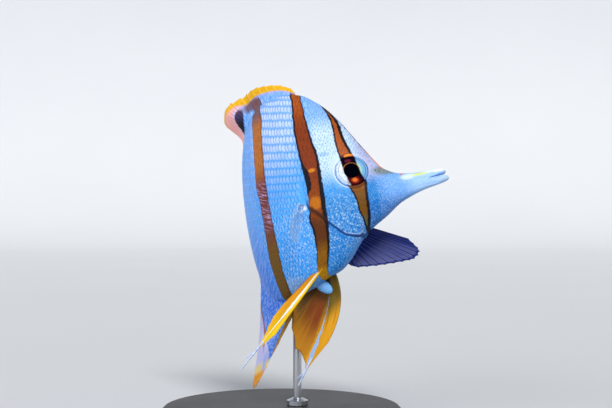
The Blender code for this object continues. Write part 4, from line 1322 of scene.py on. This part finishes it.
def with_bars(net, colour, s, z, mottle):
    """The orange bars with their dark rims, and the eyespot, laid over a colour."""
    patchy = mottle.rise(0.42, 0.66) * 0.4
    _, above_eye, away = from_eye(s, z)
    first, rim = bar(s, z, BAR_1_FRONT, BAR_1_REAR, even(1.15), even(0.7))
    rim = rim.most(away.rise(8.3, 7.1) * (above_eye.rise(-3, 2) * 0.5 + 0.5))
    first_fill = net.coats(
        OLIVE,
        (z.rise(-4, 10), BAR_TOP),
        (patchy, BAR_MIDDLE),
        (z.rise(-8, -14) * 0.6, paint(66, 112, 96)),
        (rim, BLACK),
    )
    second, rim = bar(s, z, BAR_2_FRONT, BAR_2_REAR, BAR_2_FRONT_RIM, BAR_2_REAR_RIM)
    second_fill = net.coats(
        BAR_LOW,
        (z.rise(2, 12), BAR_MIDDLE),
        (z.rise(-4, -10), BAR_DARK),
        (z.rise(-15, -22), BAR_FOOT),
        (z.rise(-25, -29), paint(206, 150, 18)),
        (z.rise(30, 46), BAR_TOP),
        (patchy, paint(104, 42, 14)),
        *marks(s, z, BAR_MARKS),
        (rim, BLACK),
        # Painted shade of the gill opening's groove
        (gill_groove_shade(s, z) * 0.85, paint(52, 26, 16)),
    )
    third, rim = bar(s, z, BAR_3_FRONT, BAR_3_REAR, even(0.6), even(0.3), 0.35)
    slant = net.vector(s * 0.5 - z * 0.85, (s * 0.85 + z * 0.5) * 0.08)
    streaks = net.noise(slant, 2.0).rise(0.48, 0.62)
    third_fill = net.coats(
        BAR_3_LOW,
        (z.rise(-16, -2), BAR_3_MIDDLE),
        (z.rise(12, 24), BAR_3_TOP),
        (z.rise(39, 48), paint(118, 88, 96)),
        (z.rise(-40, -50), paint(196, 144, 26)),
        (patchy * 0.8, paint(96, 52, 30)),
        (streaks * z.rise(18, 12) * z.rise(-8, 0) * 0.75, paint(190, 160, 206)),
        (rim * 0.6, BLACK),
    )
    fourth, rim = bar(s, z, BAR_4_FRONT, BAR_4_REAR, even(0.6), even(0.6))
    fourth_fill = net.coats(
        BAR_LOW, (z.rise(-16, 20), BAR_TOP), (patchy, BAR_MIDDLE), (rim * 0.8, BLACK)
    )
    fifth, _ = bar(s, z, BAR_5_FRONT, BAR_5_REAR, even(0.4), even(0.4))
    return net.coats(
        colour,
        (first, first_fill),
        (second, second_fill),
        *marks(s, z, BAR_MARKS[-1:]),
        (third, third_fill),
        (fourth * z.rise(47, 40), fourth_fill),
        (fifth, BLACK),
        *eyespot(net, s, z),
    )


def rings_round_eye(s, z):
    """The pale fold behind and below the eye, with a dark line inside it."""
    back, up, away = from_eye(s, z)
    behind = (back + up * 0.35).rise(-1.0, 1.2) * up.rise(5.0, 3.0)
    return (
        (abs(away - 7.35).rise(0.5, 0.0) * behind * 0.6, GLINT),
        (abs(away - 6.8).rise(0.3, 0.1) * behind * 0.7, paint(36, 60, 120)),
    )


def wavering(net, vector, s):
    """Places along the body that waver a little, so that no edge is ruled."""
    return s + (net.noise(vector, 0.4) - 0.5) * 0.5


def skin_material():
    net = Net("painted_skin", Specular_IOR_Level=SKIN_SHINE)
    vector, (s, z, w) = net.read("lie")
    _, (depth, gill, _) = net.read("depth")
    s = wavering(net, vector, s)
    mottle = net.noise(vector, 0.8, 4.0, 0.6)
    grain = net.noise(vector, 2.6, 4.0, 0.6)
    ridge = abs(abs(w) - 1.8).rise(1.1, 0.5) * z.rise(8, 10) * s.rise(42, 38)
    colour = net.coats(
        ground_colour(net, s, z),
        (grain.rise(0.42, 0.7) * (s.rise(44, 50) * -0.2 + 0.36), GLINT),
        (ridge, net.blend(s.rise(30, 31.5), paint(250, 126, 40), paint(98, 72, 128))),
        # Painted shade along the gill opening's groove, and a painted highlight along the gill cover's
        # raised edge just in front of it
        (abs(gill).rise(0.6, 0.2) * z.rise(2, -2) * 0.9, paint(18, 52, 112)),
        (abs(gill + 0.8).rise(0.3, 0.1) * z.rise(-4, -8) * 0.3, GLINT),
    )
    colour = net.coats(
        with_bars(net, colour, s, z, mottle),
        *rings_round_eye(s, z),
        # Painted highlight on the base of the pectoral fin
        (spot(s, z, (57.2, -2.4), 1.4, 1.5), GLINT),
        # Painted shade in hollows: the mouth's slot, the nostrils and the grooves, darker the deeper
        # they lie
        (depth.rise(0.12, 0.6), paint(20, 30, 56)),
    )
    return net.finish(colour, grain * 0.16 + 0.38, (grain, 0.00012, 0.5))


def scale_material():
    """Each scale is deep blue with painted highlights, a pale band along its row or a pale fleck where
    it is fine, and painted shade at its rear edge.
    """
    net = Net("painted_scales", Specular_IOR_Level=SKIN_SHINE)
    vector, (s, z, _) = net.read("lie")
    _, (along, across, chance) = net.read("plate")
    s = wavering(net, vector, s + (chance - 0.5) * 0.25)
    mottle = net.noise(vector, 0.8, 4.0, 0.6)
    fine = net.noise(vector, 3.0, 3.0)
    streaks = net.noise(net.stretch(vector, 1.6, 0.3, 0.3), 1.0, 3.0, 0.6)
    specks = net.noise(net.stretch(vector, 1.9, 0.8, 1.0), 1.1, 3.0, 0.7).rise(0.5, 0.62)
    dashes = net.noise(net.stretch(vector, 0.5, 1.6, 1.0), 1.0, 3.0, 0.7).rise(0.52, 0.64)
    # The pale bands, flecks and specks are painted highlights on the scales
    band = abs(across + 0.1).rise(1.0, 0.45) * (chance * 0.15 + streaks * 0.9 + 0.1)
    fleck = along.rise(0.35, 0.6) * abs(across).rise(0.9, 0.3) * (chance - 0.2).most(0.0)
    front = s.rise(58, 54)
    slant = net.vector(s * 0.6 + z * 0.8, (z * 0.6 - s * 0.8) * 0.15)
    oblique = net.noise(slant, 1.0).rise(0.4, 0.62) * s.rise(76, 82)
    upper = z.rise(-9, 10) * s.rise(79, 74)
    fine_highlight = fleck * (front * 0.5 + 0.15) * z.rise(-28, -14) + specks * 0.4
    fine_highlight = fine_highlight * (1 - front + front * (s.rise(32, 39) * 0.7 + 0.3))
    # Stronger toward the top, as painted light from above
    light = band * upper * (z.rise(0, 34) * 0.6 + 0.15) * (1 - front * 0.4)
    light = light + fine_highlight * (1 - upper) * s.rise(82, 76)
    # Painted shade along each scale's lifted rear edge
    rear_edge_shade = along.rise(0.8, 1.0)
    side_edge_shade = rear_edge_shade * (abs(across).rise(0.2, 0.8) * 0.5 + 0.15)
    colour = net.coats(
        ground_colour(net, s, z),
        (light.least(1.0), net.blend(front, GLINT, CYAN_GLINT)),
        (oblique * 0.5, REAR_GLINT),
        (side_edge_shade, paint(60, 116, 214), "MULTIPLY"),
        (dashes * front * z.rise(8, 14) * 0.55, paint(128, 178, 238)),
    )
    colour = with_bars(net, colour, s, z, mottle)
    # Painted shade along each scale's rear edge, over the bars too
    colour = net.blend(rear_edge_shade * 0.55, colour, paint(120, 104, 120), "MULTIPLY")
    return net.finish(colour, fine * 0.2 + 0.36, (fine, 0.00006, 0.4))


def median_fin_material():
    """Scaled and barred at the base like the body, with a golden margin."""
    net = Net("painted_fins", Specular_IOR_Level=SKIN_SHINE)
    vector, (s, z, w) = net.read("lie")
    _, (_, share, ridge) = net.read("rays")
    mottle = net.noise(vector, 0.8, 4.0, 0.6)
    slant = net.vector(s * 0.8 + z * 0.6, (z * 0.8 - s * 0.6) * 0.2, w)
    specks = net.noise(slant, 1.3, 3.0, 0.6)
    below = z.rise(-22, -28)
    behind = s - z.follow(LAVENDER_FROM, *S_LIMITS)
    streak = abs(behind - 4.4 + (z + 57) * 0.3).rise(1.7, 0.8) * z.rise(-51, -54)
    colour = net.coats(
        ground_colour(net, s, z),
        (specks.rise(0.45, 0.62) * 0.35, GLINT),
        (below * behind.rise(0.0, 1.5) * 0.9, paint(200, 198, 240)),
        (z.rise(-54, -57) * behind.rise(-1, 2), paint(236, 210, 140)),
        (streak * 0.85, paint(158, 184, 250)),
    )
    from_line = abs(s - z.follow(ANAL_LINE, *S_LIMITS))
    line = from_line.rise(1.3, 0.4) * z.rise(-22, -26) * z.rise(-53, -46)
    gold = net.blend(mottle.rise(0.35, 0.65) * 0.5, YELLOW, DEEP_GOLD)
    gold = net.blend(ridge * 0.35, gold, paint(250, 200, 84))
    edge = share - s.follow(GOLD_FROM, 0.0, 1.0)
    above = z.rise(0, 4)
    fringe = net.blend(s.rise(84, 92), paint(168, 172, 240), PINK)
    past_spot = s + (z - EYESPOT_AT[1]) * EYESPOT_SLANT
    golden = above * edge.rise(-0.05, 0.05) * (s.rise(92, 98) * z.rise(51, 46) * -1 + 1)
    colour = net.coats(
        with_bars(net, colour, s, z, mottle),
        (line, paint(156, 92, 62)),
        (above * edge.rise(-0.16, -0.06) * 0.7, fringe),
        (past_spot.rise(93.6, 95.4) * z.rise(41, 45), fringe),
        (spot(s, z, (81.5, 54.6), 6.0, 2.4) * 0.9, paint(118, 80, 88)),
        (golden, gold),
        (z.rise(-58, -60.5).most(share.rise(0.97, 1.0) * below), paint(238, 156, 12)),
    )
    return net.finish(colour, mottle * 0.2 + 0.32, (specks, 0.0001, 0.5))


def clear_fin_material(name, membrane, ray, clearness, leading=0.0):
    """A see-through membrane on paler rays, with a painted highlight along the leading edge where
    asked.
    """
    net = Net(name, Specular_IOR_Level=FIN_SHINE)
    vector, _ = net.read("lie")
    _, (across, share, _) = net.read("rays")
    fine = net.noise(vector, 1.2, 3.0)
    from_ray = abs(across - (across + 0.5).floor())
    line = abs(from_ray - share.rise(0.45, 1.0) * 0.2).rise(0.11, 0.03)
    # Painted highlight along the leading edge
    edge = across.rise(0.9, 0.2) * share.rise(1.0, 0.3) * leading
    colour = net.coats(membrane, (line, ray), (edge, GLINT), (fine * 0.12, ray))
    alpha = (line * 0.3 + edge + clearness + share.rise(0.14, 0.0) * 0.5).least(1.0)
    return net.finish(colour, fine * 0.2 + 0.3, (fine, 0.00008, 0.4), alpha)


def pelvic_material(name, edge, stripe, stripe_width, inner, rear):
    """Colours run from the front ray back: an edge, a pale stripe, the middle and the rear."""
    net = Net(name, Specular_IOR_Level=FIN_SHINE)
    vector, _ = net.read("lie")
    _, (across, share, ridge) = net.read("rays")
    fine = net.noise(vector, 0.5, 4.0, 0.6)
    u = across / 5 + (fine - 0.5) * 0.1
    lines = net.noise(net.vector(across * 4, share * 1.2), 1.0)
    pale = abs(u - 0.25) - share.follow(stripe_width, 0.0, 0.2)
    edge = net.blend(share.rise(0.35, 0.65), *edge)
    inner = net.blend(share.rise(0.15, 0.5), rear, inner)
    colour = net.coats(
        edge,
        (u.rise(0.3, 0.45), net.blend(share.rise(0.6, 0.95) * 0.5, inner, edge)),
        (u.rise(0.55, 0.95) * share.rise(1.1, 0.7) * 0.8, rear),
        (lines.rise(0.5, 0.64) * share.rise(1.0, 0.5) * 0.5, paint(92, 48, 12)),
        (ridge * 0.15, edge),
        (pale.rise(0.02, -0.01), stripe),
    )
    return net.finish(colour, fine * 0.2 + 0.38, (fine, 0.0001, 0.4))


def filament_material():
    net = Net("white_filament", Specular_IOR_Level=0.5)
    fine = net.noise(net.read("lie")[0], 2.0, 3.0)
    colour = net.blend(fine.rise(0.4, 0.7), paint(214, 226, 250), paint(150, 176, 236))
    return net.finish(colour, fine * 0.2 + 0.4, (fine, 0.00005, 0.4))


def eye_material():
    """A dark bar runs down through the eye, between pale crescents."""
    net = Net("wet_eye", Specular_IOR_Level=0.0)
    vector, _ = net.read("lie")
    _, (radius, back, up) = net.read("iris")
    x, y = radius * back, radius * up
    fibres = net.noise(vector, 1.4, 4.0, 0.6)
    behind = net.blend(fibres.rise(0.45, 0.7), paint(238, 246, 255), paint(160, 198, 236))
    before = net.blend(radius.rise(3.6, 4.8), paint(176, 222, 198), paint(124, 178, 226))
    ring = abs(radius - (PUPIL_RADIUS + 0.25)).rise(0.3, 0.1) * y.rise(-0.6, 1.4)
    colour = net.coats(
        before,
        (x.rise(-0.4, 0.4), behind),
        (abs(radius - 5.5).rise(0.3, 0.1) * 0.6, paint(60, 84, 140)),
        (abs(x + 0.25 - y * 0.23).rise(3.5, 2.8), paint(16, 8, 20)),
        *marks(x, y, EYE_MARKS),
        (ring * 0.8, paint(186, 110, 48)),
        (radius.rise(PUPIL_RADIUS + 0.1, PUPIL_RADIUS - 0.1), paint(2, 3, 10)),
    )
    return net.finish(colour, fibres * 0.1 + 0.25)


def rod_material():
    net = Net("brushed_steel", Metallic=1.0)
    place = net.node("TexCoord", output="Object")
    brushed = net.noise(net.stretch(place, 900, 900, 30), 1.0, 4.0, 0.6)
    colour = net.blend(brushed, paint(178, 182, 188), paint(206, 208, 212))
    return net.finish(colour, brushed * 0.18 + 0.22, (brushed, 0.00005, 0.3))


def base_material():
    net = Net("black_base")
    place = net.node("TexCoord", output="Object")
    grain, cloud = net.noise(place, 2200, 3.0, 0.6), net.noise(place, 60, 3.0)
    colour = net.blend(cloud, paint(30, 31, 34), paint(44, 45, 48))
    return net.finish(colour, cloud * 0.15 + 0.42, (grain, 0.00006, 0.35))


def floor_material():
    net = Net("pale_floor", Specular_IOR_Level=0.1, Roughness=0.9)
    cloud = net.noise(net.node("TexCoord", output="Object"), 3.0, 3.0)
    return net.finish(net.blend(cloud, paint(208, 210, 214), paint(214, 216, 219)))


# Stand, floor, light and camera


def dress_stand():
    for node, material in (("stand_rod", rod_material()), ("stand_base", base_material())):
        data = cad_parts[node].data
        data.materials.clear()
        data.materials.append(material)


def make_floor():
    """A pale floor that curves up into a wall behind the model."""
    reach, bend, wall = 2.5, 0.6, 2.2
    profile = [(-reach, 0.0), (reach - bend, 0.0)]
    for k in range(1, 17):
        a = math.pi / 2 * k / 16
        profile.append((reach - bend + bend * math.sin(a), bend - bend * math.cos(a)))
    profile.append((reach, wall))
    vertices = np.array([(x, y, z) for x in (-3.5, 3.5) for y, z in profile])
    floor = add_object("floor", vertices, grid_faces(2, len(profile)))
    floor.data.materials.append(floor_material())
    floor.data.shade_smooth()


def aim(obj, target):
    obj.rotation_euler = (Vector(target) - obj.location).to_track_quat("-Z", "Y").to_euler()


def add_light(name, kind, place, watts, colour, **settings):
    data = bpy.data.lights.new(name, kind)
    data.energy, data.color = watts, colour
    for key, value in settings.items():
        setattr(data, key, value)
    light = bpy.data.objects.new(name, data)
    light.location = place
    bpy.context.scene.collection.objects.link(light)
    aim(light, LIGHTS_AIM_AT)


LIGHTS_AIM_AT = (0.0, 0.0, 0.1)


def make_studio():
    scene = bpy.context.scene
    world = bpy.data.worlds.new("studio")
    scene.world = world
    world.use_nodes = True
    background = world.node_tree.nodes["Background"]
    background.inputs["Color"].default_value = (0.94, 0.97, 1.0, 1.0)
    background.inputs["Strength"].default_value = 0.34
    add_light("key", "SUN", (0.3, -1.1, 1.2), 2.2, (1.0, 0.99, 0.97), angle=math.radians(18))
    add_light("fill", "SUN", (-1.0, -0.8, 0.4), 1.5, (0.92, 0.95, 1.0), angle=math.radians(60))
    scene.view_settings.view_transform = "Standard"


CAMERA_OFFSET = np.array((-57.9, -500.0, -10.93))
FOCAL_PIXELS = 1235.0
PICTURE_WIDTH = 612.0
SENSOR_MM = 36.0


def make_camera():
    data = bpy.data.cameras.new("camera")
    data.sensor_width = SENSOR_MM
    data.lens = SENSOR_MM * FOCAL_PIXELS / PICTURE_WIDTH
    data.clip_start = 0.01
    camera = bpy.data.objects.new("camera", data)
    camera.location = (SNOUT_AT + CAMERA_OFFSET) * MM
    camera.rotation_euler = (math.radians(90), 0, 0)
    bpy.context.scene.collection.objects.link(camera)
    bpy.context.scene.camera = camera


def main():
    make_camera()
    make_studio()
    make_floor()
    dress_stand()
    skin = skin_material()
    make_skin(skin)
    make_belly_lobe(skin)
    make_scales(scale_material())
    make_median_fins(median_fin_material())
    make_tail_fin(clear_fin_material("tail_membrane", paint(150, 176, 226), paint(214, 224, 246), 0.5))
    clear = clear_fin_material("near_membrane", paint(130, 186, 244), paint(220, 238, 255), 0.12, 0.8)
    violet = clear_fin_material("far_membrane", paint(6, 18, 88), paint(58, 78, 166), 0.96)
    make_pectoral("fin_pectoral_right", 1, RIGHT_PECTORAL_TIPS, clear, "pectoral_right")
    make_pectoral("fin_pectoral_left", -1, LEFT_PECTORAL_TIPS, violet, "pectoral_left")
    yellow, orange, gold = paint(240, 196, 10), paint(224, 152, 10), paint(220, 154, 12)
    near = pelvic_material(
        "near_pelvic", (yellow, yellow), paint(236, 242, 252), NEAR_STRIPE, orange, orange
    )
    # The far pelvic fin takes darker, browner copies of the near fin's colours as painted shade
    far = pelvic_material(
        "far_pelvic_in_painted_shade", (paint(108, 86, 16), gold), paint(150, 184, 226), FAR_STRIPE,
        paint(128, 56, 8), paint(92, 70, 12),
    )
    white, wet = filament_material(), eye_material()
    make_pelvic("fin_pelvic_right", 1, RIGHT_PELVIC_TIPS, near, "pelvic_right")
    make_filament("filament_right", 1, RIGHT_PELVIC_TIPS, white)
    make_pelvic("fin_pelvic_left", -1, LEFT_PELVIC_TIPS, far, "pelvic_left")
    make_filament("filament_left", -1, LEFT_PELVIC_TIPS, white)
    make_eye("eyeball_right", 1, wet, "eye_right")
    make_eye("eyeball_left", -1, wet, "eye_left")


main()
